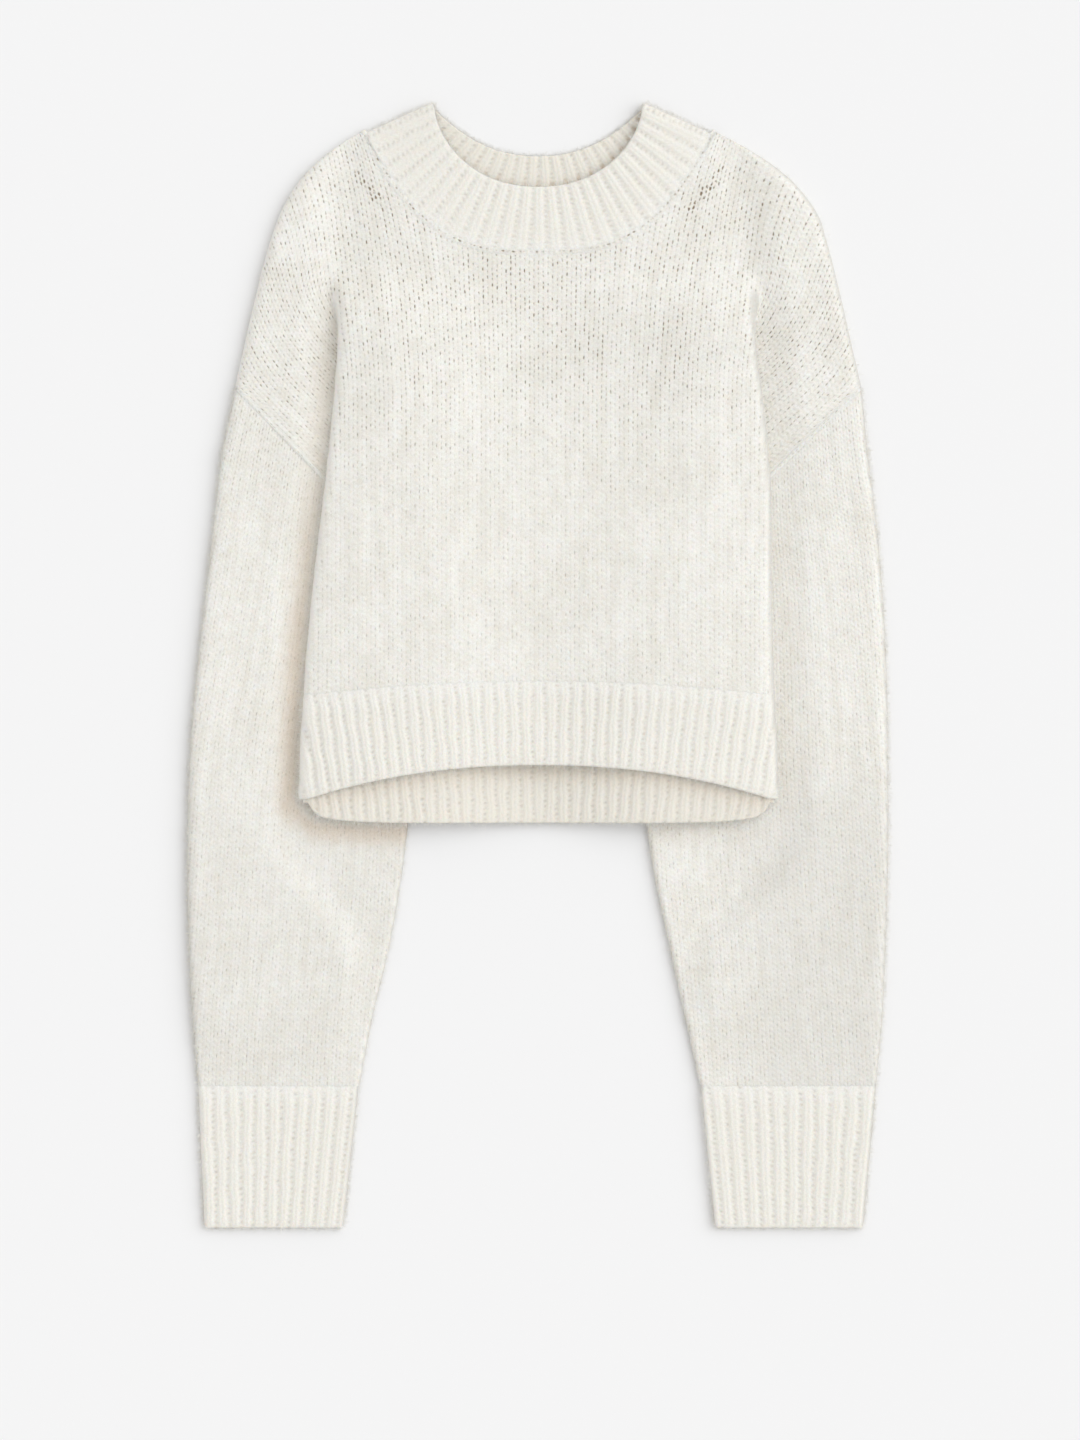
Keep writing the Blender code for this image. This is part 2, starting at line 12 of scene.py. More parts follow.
import bmesh
import bpy
import numpy as np
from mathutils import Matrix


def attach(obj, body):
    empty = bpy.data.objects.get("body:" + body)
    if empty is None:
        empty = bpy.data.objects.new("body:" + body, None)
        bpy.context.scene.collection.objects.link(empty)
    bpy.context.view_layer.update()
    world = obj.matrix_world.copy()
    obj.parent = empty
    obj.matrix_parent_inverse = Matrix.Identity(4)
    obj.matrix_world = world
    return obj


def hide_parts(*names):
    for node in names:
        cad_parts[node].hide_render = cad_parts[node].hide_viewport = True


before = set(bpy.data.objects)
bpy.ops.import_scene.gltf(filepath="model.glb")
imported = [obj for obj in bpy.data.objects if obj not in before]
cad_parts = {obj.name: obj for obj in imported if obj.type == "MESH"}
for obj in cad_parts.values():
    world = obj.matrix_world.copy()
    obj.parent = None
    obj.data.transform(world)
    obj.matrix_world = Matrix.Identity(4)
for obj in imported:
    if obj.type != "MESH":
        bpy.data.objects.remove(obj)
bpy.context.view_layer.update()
MM = 0.001

# %% [markdown]
# ## The sizes of the garment
# Everything below is in millimetres, the unit in which knitters measure, and is turned into
# metres once, where a mesh is made.  The fabric is a wall 2.6 mm thick.  The front and the
# back lie on each other as a pair, and at each side the pair makes a long pleat, so that the
# sleeves come out from behind the body.  Three short tables say where the pleat, the
# shoulder and the sleeves run; a smooth curve through the rows gives all that is between.

# %% Sizes and tables
WALL = 2.6
AIR = 0.4
SEAM = 0.3
RIB_RELIEF = 0.85
LOWEST = 0.05
LAYER = WALL + AIR
HALF = LAYER / 2
TURN = LAYER
ROLL = math.pi * TURN
REST = WALL + AIR / 2
FACE_LEVEL = REST + AIR / 2 + WALL
REACH = TURN + HALF + WALL / 2

UNDERARM, UNDERARM_GAP = 58.8, 2.0
SAG = 0.35
BODY_LIFT = 2.6
FRONT_STAY = 0.5
SAG_TOP, STAY_TOP, SAG_FADE = 275.0, 235.0, 130.0
PLUMP, PLUMP_ROUND, PLUMP_FADE = 3.8, 9.0, 30.0
PLUMP_LOW, PLUMP_LOW_FADE = -112.0, 110.0
RISE_INSET = 4.0
SLEEVE_END, SLEEVE_FLATTENS = -295.0, 70.0
PLEAT_OPEN, PLEAT_SHUT = 283.0, 211.0
NECK_HALF_WIDTH, NECK_TOP = 120.0, 370.0
COLLAR_HALF_WIDTH, COLLAR_TOP = 72.0, 390.0
NECK_CORNER, NECK_POINT = (120.7, 369.2), (123.4, 373.6)
NECK_GAP = 0.55
NECK_SHAPE = {
    "front": {"low": 290.0, "collar_low": 335.3, "power": (3.0, 2.2), "round": (1.0, 0.6)},
    "back": {"low": 311.5, "collar_low": 357.4, "power": (2.2, 2.2), "round": (1.0, 1.0)},
}

PLEAT = (
    ("height", "left", "right", "leg"),
    (
        (-112.0, 162.0, 162.5, 72.0),
        (-93.0, 161.4, 162.0, 72.0),
        (19.0, 155.2, 157.5, 73.0),
        (58.8, 151.2, 157.0, 74.0),
        (138.0, 141.8, 155.5, 43.0),
        (166.0, 138.9, 153.0, 29.0),
        (195.0, 136.2, 149.5, 16.0),
        (211.0, 135.0, 147.0, 8.0),
        (228.0, 133.5, 145.0, 1.5),
        (264.0, 131.5, 141.0, 1.0),
        (374.0, 128.0, 128.0, 1.0),
    ),
)
SHOULDER = (
    ("height", "left", "right"),
    (
        (195.3, 211.8, 225.5),
        (221.0, 206.2, 219.5),
        (261.0, 197.0, 210.5),
        (298.0, 187.0, 201.0),
        (315.0, 181.0, 195.5),
        (330.4, 173.0, 185.0),
        (341.6, 165.0, 174.5),
        (352.8, 154.0, 160.0),
        (364.0, 139.5, 142.0),
        (373.6, 123.4, 123.4),
    ),
)
SLEEVE = (
    ("ring", "outer_height", "inner_height",
     "outer_left", "inner_left", "outer_right", "inner_right"),
    (
        (1, 148.0, 20.0, 221.5, 75.5, 230.5, 78.0),
        (2, 95.0, -10.0, 227.5, 76.5, 237.0, 77.0),
        (3, 30.0, -50.0, 235.0, 80.5, 242.0, 75.5),
        (4, -50.0, -95.0, 243.0, 89.0, 244.5, 74.0),
        (5, -130.0, -145.0, 245.5, 95.5, 244.5, 81.0),
        (6, -190.0, -195.0, 244.5, 104.0, 243.0, 91.5),
        (7, -245.0, -245.0, 242.0, 116.0, 240.5, 102.5),
        (8, -295.0, -295.0, 238.0, 125.5, 236.0, 113.5),
    ),
)
CUFF_LOW = -392.0
CUFF_END = {"left": (233.5, 136.5), "right": (227.0, 123.5)}
FLIP = {"left": -1.0, "right": 1.0}
POINT_HEIGHT = SHOULDER[1][0][0]


def ease(t):
    """0 to 1 with a soft start and end."""
    t = np.clip(t, 0.0, 1.0)
    return t * t * (3 - 2 * t)


def read(table, name, key):
    """A column's values at keys of the first column, on a smooth curve through the rows."""
    names, rows = table
    data = np.array(rows, dtype=float)
    keys, values = data[:, 0], data[:, names.index(name)]
    slopes = np.gradient(values, keys)
    key = np.clip(key, keys[0], keys[-1])
    low = np.clip(np.searchsorted(keys, key, side="right") - 1, 0, len(keys) - 2)
    span = keys[low + 1] - keys[low]
    t = (key - keys[low]) / span
    start = (1 + 2 * t) * (1 - t) ** 2 * values[low] + t * (1 - t) ** 2 * span * slopes[low]
    return start + t * t * (3 - 2 * t) * values[low + 1] + t * t * (t - 1) * span * slopes[low + 1]


def neck_share(across, shape, t=0.0):
    """How far a row of the neck has risen, 0 to 1, at a share of its half width."""
    power, roundness = (a + t * (b - a) for a, b in (shape["power"], shape["round"]))
    return 1 - np.clip(1 - np.clip(across, 0, 1) ** power, 0, 1) ** roundness


print("body width at the underarm in mm:",
      float(sum(read(PLEAT, side, UNDERARM) + REACH for side in FLIP)))

# %% [markdown]
# ## The section of the pleat
# Seen along the body, the pair of layers runs out from the centre, rolls under at the body's
# edge, goes back inwards as a leg and turns outwards again in a tuck.  Straight stretches and
# arcs describe that, so a point needs only its height and its distance along the path.  Near
# the shoulder the turn opens from half a circle to nothing, which ends the pleat in a soft
# hollow, as cloth does.

# %% Pleat


def pleat(side, height):
    """Sizes of the pleat's section at each height."""
    height = np.asarray(height, dtype=float)
    turn = np.maximum(math.pi * ease((PLEAT_OPEN - height) / (PLEAT_OPEN - PLEAT_SHUT)), 0.001)
    leg = read(PLEAT, "leg", height)
    radius = ROLL / turn
    rise = 2 * radius * (1 - np.cos(turn)) + leg * np.sin(turn)
    start = read(PLEAT, side, height)
    out = start + 2 * radius * np.sin(turn) + leg * np.cos(turn)
    return {"start": start, "turn": turn, "leg": leg, "radius": radius, "rise": rise, "out": out}


def sag(height):
    """Share of the pleat's height that is left at the body's centre: none near the neck."""
    return SAG * ease((SAG_TOP - np.asarray(height)) / SAG_FADE)


def pair_at(side, height, path):
    """Half width, level and normal of the middle of the pair, a path's length from the centre."""
    s = pleat(side, height)
    roll_end = s["start"] + ROLL
    leg_end = roll_end + s["leg"]
    rolled = s["turn"] * np.clip((path - s["start"]) / ROLL, 0, 1)
    legged = np.clip(path - roll_end, 0, s["leg"])
    tucked = s["turn"] * (1 - np.clip((path - leg_end) / ROLL, 0, 1))
    beyond = np.maximum(path - leg_end - ROLL, 0)
    out = np.minimum(path, s["start"]) + s["radius"] * np.sin(rolled)
    out = out + legged * np.cos(s["turn"]) + s["radius"] * (np.sin(s["turn"]) - np.sin(tucked))
    high = s["start"] - s["leg"] - RISE_INSET
    top = sag(height) + (1 - sag(height)) * ease(np.minimum(path, s["start"]) / high)
    level = REST + s["rise"] * top - s["radius"] * (1 - np.cos(rolled))
    level = level - legged * np.sin(s["turn"])
    level = level - s["radius"] * (np.cos(tucked) - np.cos(s["turn"]))
    angle = np.where(path < leg_end, rolled, tucked)
    return out + beyond, level, np.sin(angle), np.cos(angle)


def armhole_ends(side):
    """Half widths of the shoulder's point and of the underarm, where the armhole ends."""
    base_out = float(pleat(side, UNDERARM)["out"]) + UNDERARM_GAP
    return float(read(SHOULDER, side, POINT_HEIGHT)), base_out


def armhole(side, height):
    """Half width of the straight armhole seam."""
    point_out, base_out = armhole_ends(side)
    return base_out + (height - UNDERARM) / (POINT_HEIGHT - UNDERARM) * (point_out - base_out)


def outline(side):
    """Points down the shoulder's outline, with the length up to each."""
    heights = np.linspace(SHOULDER[1][-1][0], POINT_HEIGHT, 120)
    outs = read(SHOULDER, side, heights)
    steps = np.hypot(np.diff(heights), np.diff(outs))
    return heights, outs, np.concatenate([[0.0], np.cumsum(steps)])


def sleeve_column(name):
    """One column of the sleeve's table."""
    return np.array(SLEEVE[1])[:, SLEEVE[0].index(name)]


def outer_edge(side, height):
    """Half width of the outermost edge: the shoulder's outline, then the sleeve's."""
    heights = np.concatenate([[POINT_HEIGHT], sleeve_column("outer_height")])
    outs = np.concatenate([[armhole_ends(side)[0]], sleeve_column("outer_" + side)])
    below = np.interp(-height, -heights, outs)
    return np.where(height >= POINT_HEIGHT, read(SHOULDER, side, height), below)


def plump(side, out, height):
    """Extra height of the upper layer of shoulder and sleeve, clear of the body's edge."""
    edge = read(PLEAT, side, height) + REACH
    heights = -sleeve_column("inner_height")
    sleeve_inner = np.interp(-height, heights, sleeve_column("inner_" + side))
    inner = edge + ease((PLUMP_LOW - height) / PLUMP_LOW_FADE) * (sleeve_inner - edge)
    flat = ease((height - SLEEVE_END) / SLEEVE_FLATTENS)
    away = np.clip((outer_edge(side, height) - out) / PLUMP_ROUND, 0, 1)
    return PLUMP * flat * ease((out - inner) / PLUMP_FADE) * np.sqrt(away * (2 - away))


def lift(side, out, height):
    """Extra height of the front over the back between the two rolls."""
    s = pleat(side, height)
    out = np.minimum(out, s["start"])
    sagged = (1 - sag(height)) * s["rise"] * (1 - ease(out / (s["start"] - s["leg"] - RISE_INSET)))
    stay = FRONT_STAY * ease((STAY_TOP - height) / SAG_FADE)
    return BODY_LIFT * (1 - (out / s["start"]) ** 8) + stay * sagged


check_path = np.linspace(0, 240, 7)
print("pleat section at the underarm, half width and level in mm:",
      np.round(np.array(pair_at("left", UNDERARM, check_path)[:2]).T, 1).tolist())

# %% [markdown]
# ## Clearing the stage
# Blender keeps whatever was selected last, and its operators act on all of it.  So before
# each new piece everything is deselected.  A grid primitive is the start of every cloth
# piece, because knitting is a grid too.

# %% Grids


def select(*pieces):
    """Selects these pieces and nothing else; the last one is the active one."""
    bpy.ops.object.select_all(action="DESELECT")
    for piece in pieces:
        piece.select_set(True)
        bpy.context.view_layer.objects.active = piece


def new_grid(name, rows, columns):
    """A fresh flat grid, of which the points are numbered along each row in turn."""
    select()
    bpy.ops.mesh.primitive_grid_add(x_subdivisions=columns - 1, y_subdivisions=rows - 1,
                                    size=1.0, location=(0, 0, 0))
    grid = bpy.context.active_object
    grid.name = grid.data.name = name
    return grid


def lay(grid, points, stitches):
    """Lays a grid on points in millimetres, and numbers its stitches in the UV map."""
    mesh = grid.data
    points = np.concatenate([points[..., :2], np.maximum(points[..., 2:], LOWEST)], axis=-1)
    mesh.vertices.foreach_set("co", (points * MM).astype(np.float32).ravel())
    corners = np.zeros(len(mesh.loops), dtype=np.int32)
    mesh.loops.foreach_get("vertex_index", corners)
    numbers = stitches.reshape(-1, 2)[corners].astype(np.float32)
    mesh.uv_layers.active.data.foreach_set("uv", numbers.ravel())
    mesh.update()


def tidy_mesh(piece, merge=0.02):
    """Merges points that fell together and turns the faces outwards."""
    select(piece)
    bpy.ops.object.mode_set(mode="EDIT")
    bpy.ops.mesh.select_all(action="SELECT")
    bpy.ops.mesh.remove_doubles(threshold=merge * MM)
    bpy.ops.mesh.dissolve_degenerate(threshold=merge * MM)
    bpy.ops.mesh.normals_make_consistent(inside=False)
    bpy.ops.object.mode_set(mode="OBJECT")
    bpy.ops.object.shade_smooth()


test_grid = new_grid("test_grid", 3, 5)
across_row = [round(v.co.x, 2) for v in test_grid.data.vertices[:5]]
bpy.data.objects.remove(test_grid)
print("a grid's first row runs along x:", across_row)

# %% [markdown]
# ## A wall of cloth from two grids
# Cloth has a face, a back and a thickness.  The face carries the stitches, so its grid is
# fine.  The back mostly lies hidden, so it takes only every few points of the same grid.
# Round the free edge the two are joined by a strip, each cell of which has as many corners
# as the fine side needs.  Solidify would make both sides fine and double the mesh.

# %% Walls


def coarse(count, step):
    """Every few indices of a row, always with the last."""
    picks = list(range(0, count - 1, step))
    return np.array(picks + [count - 1])


def mark_inside_shade(piece, share):
    """Marks the points of a piece that show the inside of the garment, where the yarn is painted
    darker and warmer as shade.
    """
    marks = piece.data.attributes.new("inside", "FLOAT", "POINT")
    marks.data.foreach_set("value", np.full(len(piece.data.vertices), share, dtype=np.float32))


def cloth_wall(name, face, back, stitches, step=(4, 4), ring=False, back_stitches=None,
               inside=(0.0, 0.0)):
    """A closed wall between a fine face and a coarse back, which are grids of points."""
    rows, columns = face.shape[:2]
    if ring:
        face[:, -1], back[:, -1] = face[:, 0], back[:, 0]
    row_picks, column_picks = coarse(rows, step[0]), coarse(columns, step[1])
    front = new_grid(name, rows, columns)
    lay(front, face, stitches)
    behind = new_grid(name + "_back", len(row_picks), len(column_picks))
    picks = np.ix_(row_picks, column_picks)
    lay(behind, back[picks], (stitches if back_stitches is None else back_stitches)[picks])
    mark_inside_shade(front, inside[0])
    mark_inside_shade(behind, inside[1])
    select(behind, front)
    bpy.ops.object.join()
    join_rims(front, rows, columns, row_picks, column_picks, ring)
    tidy_mesh(front)
    return front


def join_rims(piece, rows, columns, row_picks, column_picks, ring):
    """Joins the free edges of the two grids; a ring has none along its first column."""
    first_back = rows * columns
    wide = len(column_picks)
    faces = []
    for row, back_row in ((0, 0), (rows - 1, len(row_picks) - 1)):
        for i in range(wide - 1):
            fine = row * columns + np.arange(column_picks[i], column_picks[i + 1] + 1)
            pair = first_back + back_row * wide + np.array([i + 1, i])
            faces.append(np.concatenate([fine, pair]))
    for column, back_column in () if ring else ((0, 0), (columns - 1, wide - 1)):
        for i in range(len(row_picks) - 1):
            fine = np.arange(row_picks[i], row_picks[i + 1] + 1) * columns + column
            pair = first_back + np.array([i + 1, i]) * wide + back_column
            faces.append(np.concatenate([fine, pair]))
    add_faces(piece.data, faces)


def add_faces(mesh, faces):
    """Adds faces with many corners to a mesh, each corner with the UV of its point."""
    work = bmesh.new()
    work.from_mesh(mesh)
    work.verts.ensure_lookup_table()
    uv = work.loops.layers.uv.active
    for corners in faces:
        verts = [work.verts[int(i)] for i in corners]
        places = [vert.link_loops[0][uv].uv.copy() for vert in verts]
        made = work.faces.new(verts)
        for loop, place in zip(made.loops, places):
            loop[uv].uv = place
    work.to_mesh(mesh)
    work.free()


def tell_triangles(*pieces):
    """Prints how many triangles each piece has."""
    for piece in pieces:
        count = sum(len(face.vertices) - 2 for face in piece.data.polygons)
        print(piece.name, count, "triangles")


print("a row of 10 points is thinned to:", coarse(10, 4).tolist())

# %% [markdown]
# ## One stitch
# On the right side of plain knitting each stitch is a V: two legs of yarn that lean apart.
# Along a wale the Vs nest in each other, and small openings are left where two legs part
# and where two wales touch.  A short formula gives that height for any wale number u and
# course number v, and the same formula is used for the shape here and for the finer bump
# in the material, so the two agree.

# %% Stitch relief
WALE = {"left": 6.13, "right": 6.25}
COURSE = 3.9
STITCH_DEPTH = 0.5
STITCH_LEVEL, STITCH_UNEVENNESS = 0.7, 0.16
SEAM_SINK, SEAM_SINK_COURSES = 0.6, 1.3


def seam_sink(courses):
    """How far plain cloth sinks into the band it is joined to, at a course from that seam."""
    return SEAM_SINK * (1 - ease(courses / SEAM_SINK_COURSES))


def stitch_height(u, v):
    """Height of plain knitting, 0 in an opening and 1 on top of a leg."""
    across = np.abs(u - np.floor(u) - 0.5)
    leg = np.abs(np.sin(2 * math.pi * u))
    ridge = 0.5 - 0.5 * np.cos(2 * math.pi * (v - across))
    opening = ((1 - leg) * (1 - ridge)) ** 1.3
    return 1 - 0.22 * (1 - leg) - 0.28 * (1 - ridge) - 0.5 * opening


def yarn_unevenness(u, v):
    """Slow changes in height from stitch to stitch, as in any hand-framed knitting."""
    return (0.5 * np.sin(1.7 * u + 0.6 * np.sin(0.31 * v))
            + 0.5 * np.sin(1.1 * v + 0.9 * np.sin(0.23 * u)))


def stitch_relief(u, v):
    """Height of uneven knitting over the cloth's own surface, as a share of its depth."""
    return stitch_height(u, v) - STITCH_LEVEL + STITCH_UNEVENNESS * yarn_unevenness(u, v)


samples = stitch_height(*np.meshgrid(np.linspace(0, 1, 9), np.linspace(0, 1, 9)))
print("stitch height from", float(samples.min().round(2)), "to", float(samples.max().round(2)))

# %% [markdown]
# ## Where a panel's wales run
# Forty wales go from the centre to each side.  Low down they follow the pleat round: over
# the body, under its edge, back inwards and out again.  Higher up the pleat opens, the
# wales come out of it one by one, and they fan out over the shoulder.  So a wale's place is
# worked out at a fine ladder of heights, its length is added up along the way, and its
# stitches are spaced evenly along that length.

# %% Wales of a panel
WALES_PER_SIDE = 40
UNDERARM_TUCK = 8.0
LADDER = np.arange(-50.0, 375.0, 0.75)
CHEST_WIDENING, CHEST_LOW, CHEST_FADE = 0.06, 180.0, 120.0
SHOULDER_LEAN, NECK_LEAN = 17.0, 8.0
LEAN_LOW, LEAN_FADE, LEAN_MOST = 245.0, 125.0, 1.05
HEM_SEAM = {"front": ((-12.6, 0), (-9.4, 2)), "back": ((-47.0, 0), (25.0, 2))}


def wale_pitch(side, height):
    """Width of a wale: a little more over the chest, where the cloth is stretched."""
    return WALE[side] * (1 + CHEST_WIDENING * ease((height - CHEST_LOW) / CHEST_FADE))


def wale_lean(height):
    """How far the outer wales lean out towards the shoulder."""
    return SHOULDER_LEAN * np.clip((height - LEAN_LOW) / LEAN_FADE, 0.0, LEAN_MOST) ** 2


def wale_path(side, wale, height):
    """Length from the centre along the cloth to a wale."""
    beside_neck = ease((wale - 6.0) / 6.0) * (1 - ease((wale - 14.0) / 5.0))
    lean = ease((wale - 5.0) / 9.0) + NECK_LEAN / SHOULDER_LEAN * beside_neck
    return wale_pitch(side, height) * wale + wale_lean(height) * lean


def wale_at(side, path, height):
    """The wale at a length along the cloth, for the outer wales."""
    return (path - wale_lean(height)) / wale_pitch(side, height)


def top_of(side, layer, out):
    """Height where a panel ends above a half width: at the neck or at the shoulder."""
    shape = NECK_SHAPE[layer]
    low = shape["low"] - NECK_GAP
    neck = low + (NECK_CORNER[1] - low) * neck_share(out / NECK_CORNER[0], shape)
    between = (out - NECK_CORNER[0]) / (NECK_POINT[0] - NECK_CORNER[0])
    corner = NECK_CORNER[1] + between * (NECK_POINT[1] - NECK_CORNER[1])
    heights, outs, _ = outline(side)
    shoulder = np.interp(out, outs, heights)
    return np.where(out <= NECK_CORNER[0], neck, np.where(out <= NECK_POINT[0], corner, shoulder))


def shoulder_begin(side):
    """Height on the outline where the pleat's path ends, and the wale there."""
    height = NECK_POINT[1]
    for _ in range(20):
        height = float(top_of(side, "front", pleat(side, height)["out"]))
    return height, float(wale_at(side, pleat(side, height)["out"], height))


def shoulder_count(side, height):
    """How many wales reach past the pleat's end: fewer as the shoulder slopes in."""
    heights, _, lengths = outline(side)
    begin_height, begin_wale = shoulder_begin(side)
    begin = np.interp(-begin_height, -heights, lengths)
    here = np.interp(-height, -heights, lengths)
    share = np.clip((here - begin) / (lengths[-1] - begin), 0, 1)
    wide = np.where(height <= POINT_HEIGHT, 1.0, share)
    return begin_wale + wide * (WALES_PER_SIDE - begin_wale)


def panel_place(side, layer, wale, height):
    """Half width, level and normal of a layer's own surface, with its extra height."""
    s = pleat(side, height)
    path = wale_path(side, wale, height)
    whole = WALES_PER_SIDE * WALE[side]
    tuck = ROLL * ease((height - UNDERARM + UNDERARM_TUCK) / UNDERARM_TUCK)
    short = s["start"] + ROLL + s["leg"] + tuck
    squeezed = s["start"] + (path - s["start"]) * (short - s["start"]) / (whole - s["start"])
    path = np.where((height < UNDERARM) & (path > s["start"]), squeezed, path)
    folded = s["start"] + 2 * ROLL + s["leg"]
    out, level, across, up = pair_at(side, height, np.minimum(path, folded))
    bound = np.where(height <= POINT_HEIGHT, armhole(side, height), read(SHOULDER, side, height))
    reached = wale_at(side, folded, height)
    beyond = (wale - reached) / np.maximum(shoulder_count(side, height) - reached, 0.01)
    past = (path > folded) & (height >= UNDERARM)
    out = np.where(past, s["out"] + np.clip(beyond, 0, 1) * (bound - s["out"]), out)
    up = np.where(past, 1.0, up)
    rounded = plump(side, out, height) * np.clip(up, 0, 1)
    extra = np.where(path <= s["start"], lift(side, out, height), rounded)
    return out, level, across, up, extra if layer == "front" else 0.0 * out


def powers(terms, across):
    """A smooth line's height at a share of the half width, from sizes and their powers."""
    return sum(size * across ** power for size, power in terms)


def wale_ladder(side, layer, wales):
    """For each wale the heights, lengths and top of its way from the hem to the top."""
    wale, height = wales[:, None], LADDER[None, :]
    out = panel_place(side, layer, wale, height)[0]
    count = np.broadcast_to(shoulder_count(side, height), out.shape)
    outer_wales = wale > shoulder_begin(side)[1]
    room = np.where(outer_wales, count - wale, top_of(side, layer, out) - height)
    inside = room > -1e-9
    last = np.array([np.argmax(~row) if (~row).any() else len(row) for row in inside])
    last = np.clip(last, 1, len(LADDER) - 1)
    pick = np.arange(len(wales))
    before, after = room[pick, last - 1], room[pick, last]
    t = np.clip(before / np.maximum(before - after, 1e-6), 0, 1)
    tops = LADDER[last - 1] + t * (LADDER[last] - LADDER[last - 1])
    steps = np.hypot(np.diff(out, axis=1), np.diff(LADDER)[None, :])
    lengths = np.concatenate([np.zeros((len(wales), 1)), np.cumsum(steps, axis=1)], axis=1)
    return tops, lengths


def panel_grids(side, layer, wales, row_step):
    """Heights of each stitch row on each wale, with the course number there."""
    starts = float(read(PLEAT, side, -20.0))
    across = np.clip(wales * WALE[side] / starts, 0, 1)
    lows = powers(HEM_SEAM[layer], across) + SEAM / 2
    tops, lengths = wale_ladder(side, layer, wales)
    low_lengths = np.array([np.interp(low, LADDER, row) for low, row in zip(lows, lengths)])
    top_lengths = np.array([np.interp(top, LADDER, row) for top, row in zip(tops, lengths)])
    longest = float((top_lengths - low_lengths).max())
    marks = np.arange(0.0, longest + row_step, row_step)
    heights = np.zeros((len(marks), len(wales)))
    courses = np.zeros_like(heights)
    for i, row in enumerate(lengths):
        along = np.minimum(low_lengths[i] + marks, top_lengths[i])
        heights[:, i] = np.interp(along, row, LADDER)
        courses[:, i] = (along - low_lengths[i]) / COURSE
    return heights, courses


trial_courses = panel_grids("left", "front", np.array([0.0, 20.0, 40.0]), 1.3)[1]
print("courses on wales 0, 20 and 40:", trial_courses[-1].round(1).tolist())

# %% [markdown]
# ## Front and back panels
# Both panels lie on the same path, the front outside and above, the back within.  The face
# of the front is on top; the face of the back is underneath, where it rests.  Each point is
# moved out along the surface's own normal by the height of its stitch.

# %% Panels


def pad_rows(grid, rows):
    """Repeats the last row, where one side has fewer rows than the other."""
    return np.concatenate([grid, np.repeat(grid[-1:], rows - grid.shape[0], axis=0)])


def both_sides(halves):
    """Joins the grids of the two halves into whole ones that run from left to right."""
    rows = max(grids[0].shape[0] for grids in halves.values())
    return [np.concatenate([pad_rows(left, rows)[:, ::-1], pad_rows(right, rows)[:, 1:]], axis=1)
            for left, right in zip(halves["left"], halves["right"])]


def panel(layer, per_wale, row_step, depth):
    """A panel's closed wall, with its wales numbered from the left side to the right."""
    sign = 1.0 if layer == "front" else -1.0
    wales = np.arange(0, WALES_PER_SIDE * per_wale + 1) / per_wale
    halves = {}
    for side, flip in FLIP.items():
        heights, courses = panel_grids(side, layer, wales, row_step)
        out, level, across, up, extra = panel_place(side, layer, wales[None, :], heights)
        numbers = flip * wales[None, :] + 0 * heights + WALES_PER_SIDE
        raised = depth * stitch_relief(numbers, courses) - seam_sink(courses)
        face_far = sign * (AIR / 2 + WALL + raised)
        if layer == "back":
            face_far = np.maximum(face_far, -(AIR / 2 + WALL))
        back_far = sign * AIR / 2
        creased = crease_height(flip * out, heights) if layer == "front" else 0.0
        points = [
            np.stack([flip * (out + across * far), heights, level + up * far + lifted], -1)
            for far, lifted in ((face_far, extra + creased), (back_far, extra))
        ]
        halves[side] = (*points, np.stack([numbers, courses], -1))
    return cloth_wall(layer + "_panel_knit", *both_sides(halves), step=(6, per_wale))


# %% [markdown]
# ## Creases
# A knitted front that lies flat is never quite flat.  It has a few broad, soft swells and
# hollows where it was smoothed down by hand.  Each is written down once, with the ends of
# its crest, how wide it is and how high, and all are added up.

# %% Creases
CREASE_PAST, CREASE_FADE = 0.2, 0.4
CREASES = (
    ("start", "end", "width", "height"),
    (
        ((-95.0, 250.0), (-70.0, 40.0), 26.0, 0.5),
        ((-30.0, 210.0), (-45.0, 20.0), 30.0, -0.4),
        ((20.0, 230.0), (5.0, 60.0), 24.0, 0.3),
        ((70.0, 240.0), (62.0, 30.0), 28.0, -0.45),
        ((112.0, 190.0), (120.0, 10.0), 18.0, 0.5),
        ((-120.0, 140.0), (-128.0, -10.0), 14.0, 0.4),
        ((-60.0, 262.0), (62.0, 268.0), 16.0, 0.4),
        ((-150.0, 300.0), (-178.0, 215.0), 15.0, 0.6),
        ((150.0, 310.0), (186.0, 225.0), 15.0, 0.5),
    ),
)


def crease_height(x, y):
    """Soft swells and hollows of the front, in millimetres."""
    total = np.zeros(np.broadcast(x, y).shape)
    for start, end, width, height in CREASES[1]:
        run = np.subtract(end, start)
        t = ((x - start[0]) * run[0] + (y - start[1]) * run[1]) / run.dot(run)
        t = np.clip(t, -CREASE_PAST, 1 + CREASE_PAST)
        gap = np.hypot(x - start[0] - t * run[0], y - start[1] - t * run[1])
        fade = ease((t + CREASE_PAST) / CREASE_FADE)
        fade = fade * ease((1 + CREASE_PAST - t) / CREASE_FADE)
        total = total + height * np.exp(-((gap / width) ** 2)) * fade
    return total


swells = crease_height(*np.meshgrid(np.arange(-200, 200, 5.0), np.arange(-40, 300, 5.0)))
print("creases reach from", float(swells.min().round(2)), "to", float(swells.max().round(2)), "mm")

# %% Make the panels
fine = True
front_panel = panel("front", 4 if fine else 2, COURSE / (3 if fine else 1.5), STITCH_DEPTH)
back_panel = panel("back", 2, COURSE / 1.5, STITCH_DEPTH * 0.7)
tell_triangles(front_panel, back_panel)

# %% [markdown]
# ## Ribbing
# Hems, cuffs and neckband are ribbed: wales of knit stitches stand up as rounded cords, and
# the purl wales between them sink in.  That makes the bands springy.  The formula has the
# rounded cord, its two legs of stitches, and the small purl bumps at the bottom of a groove.

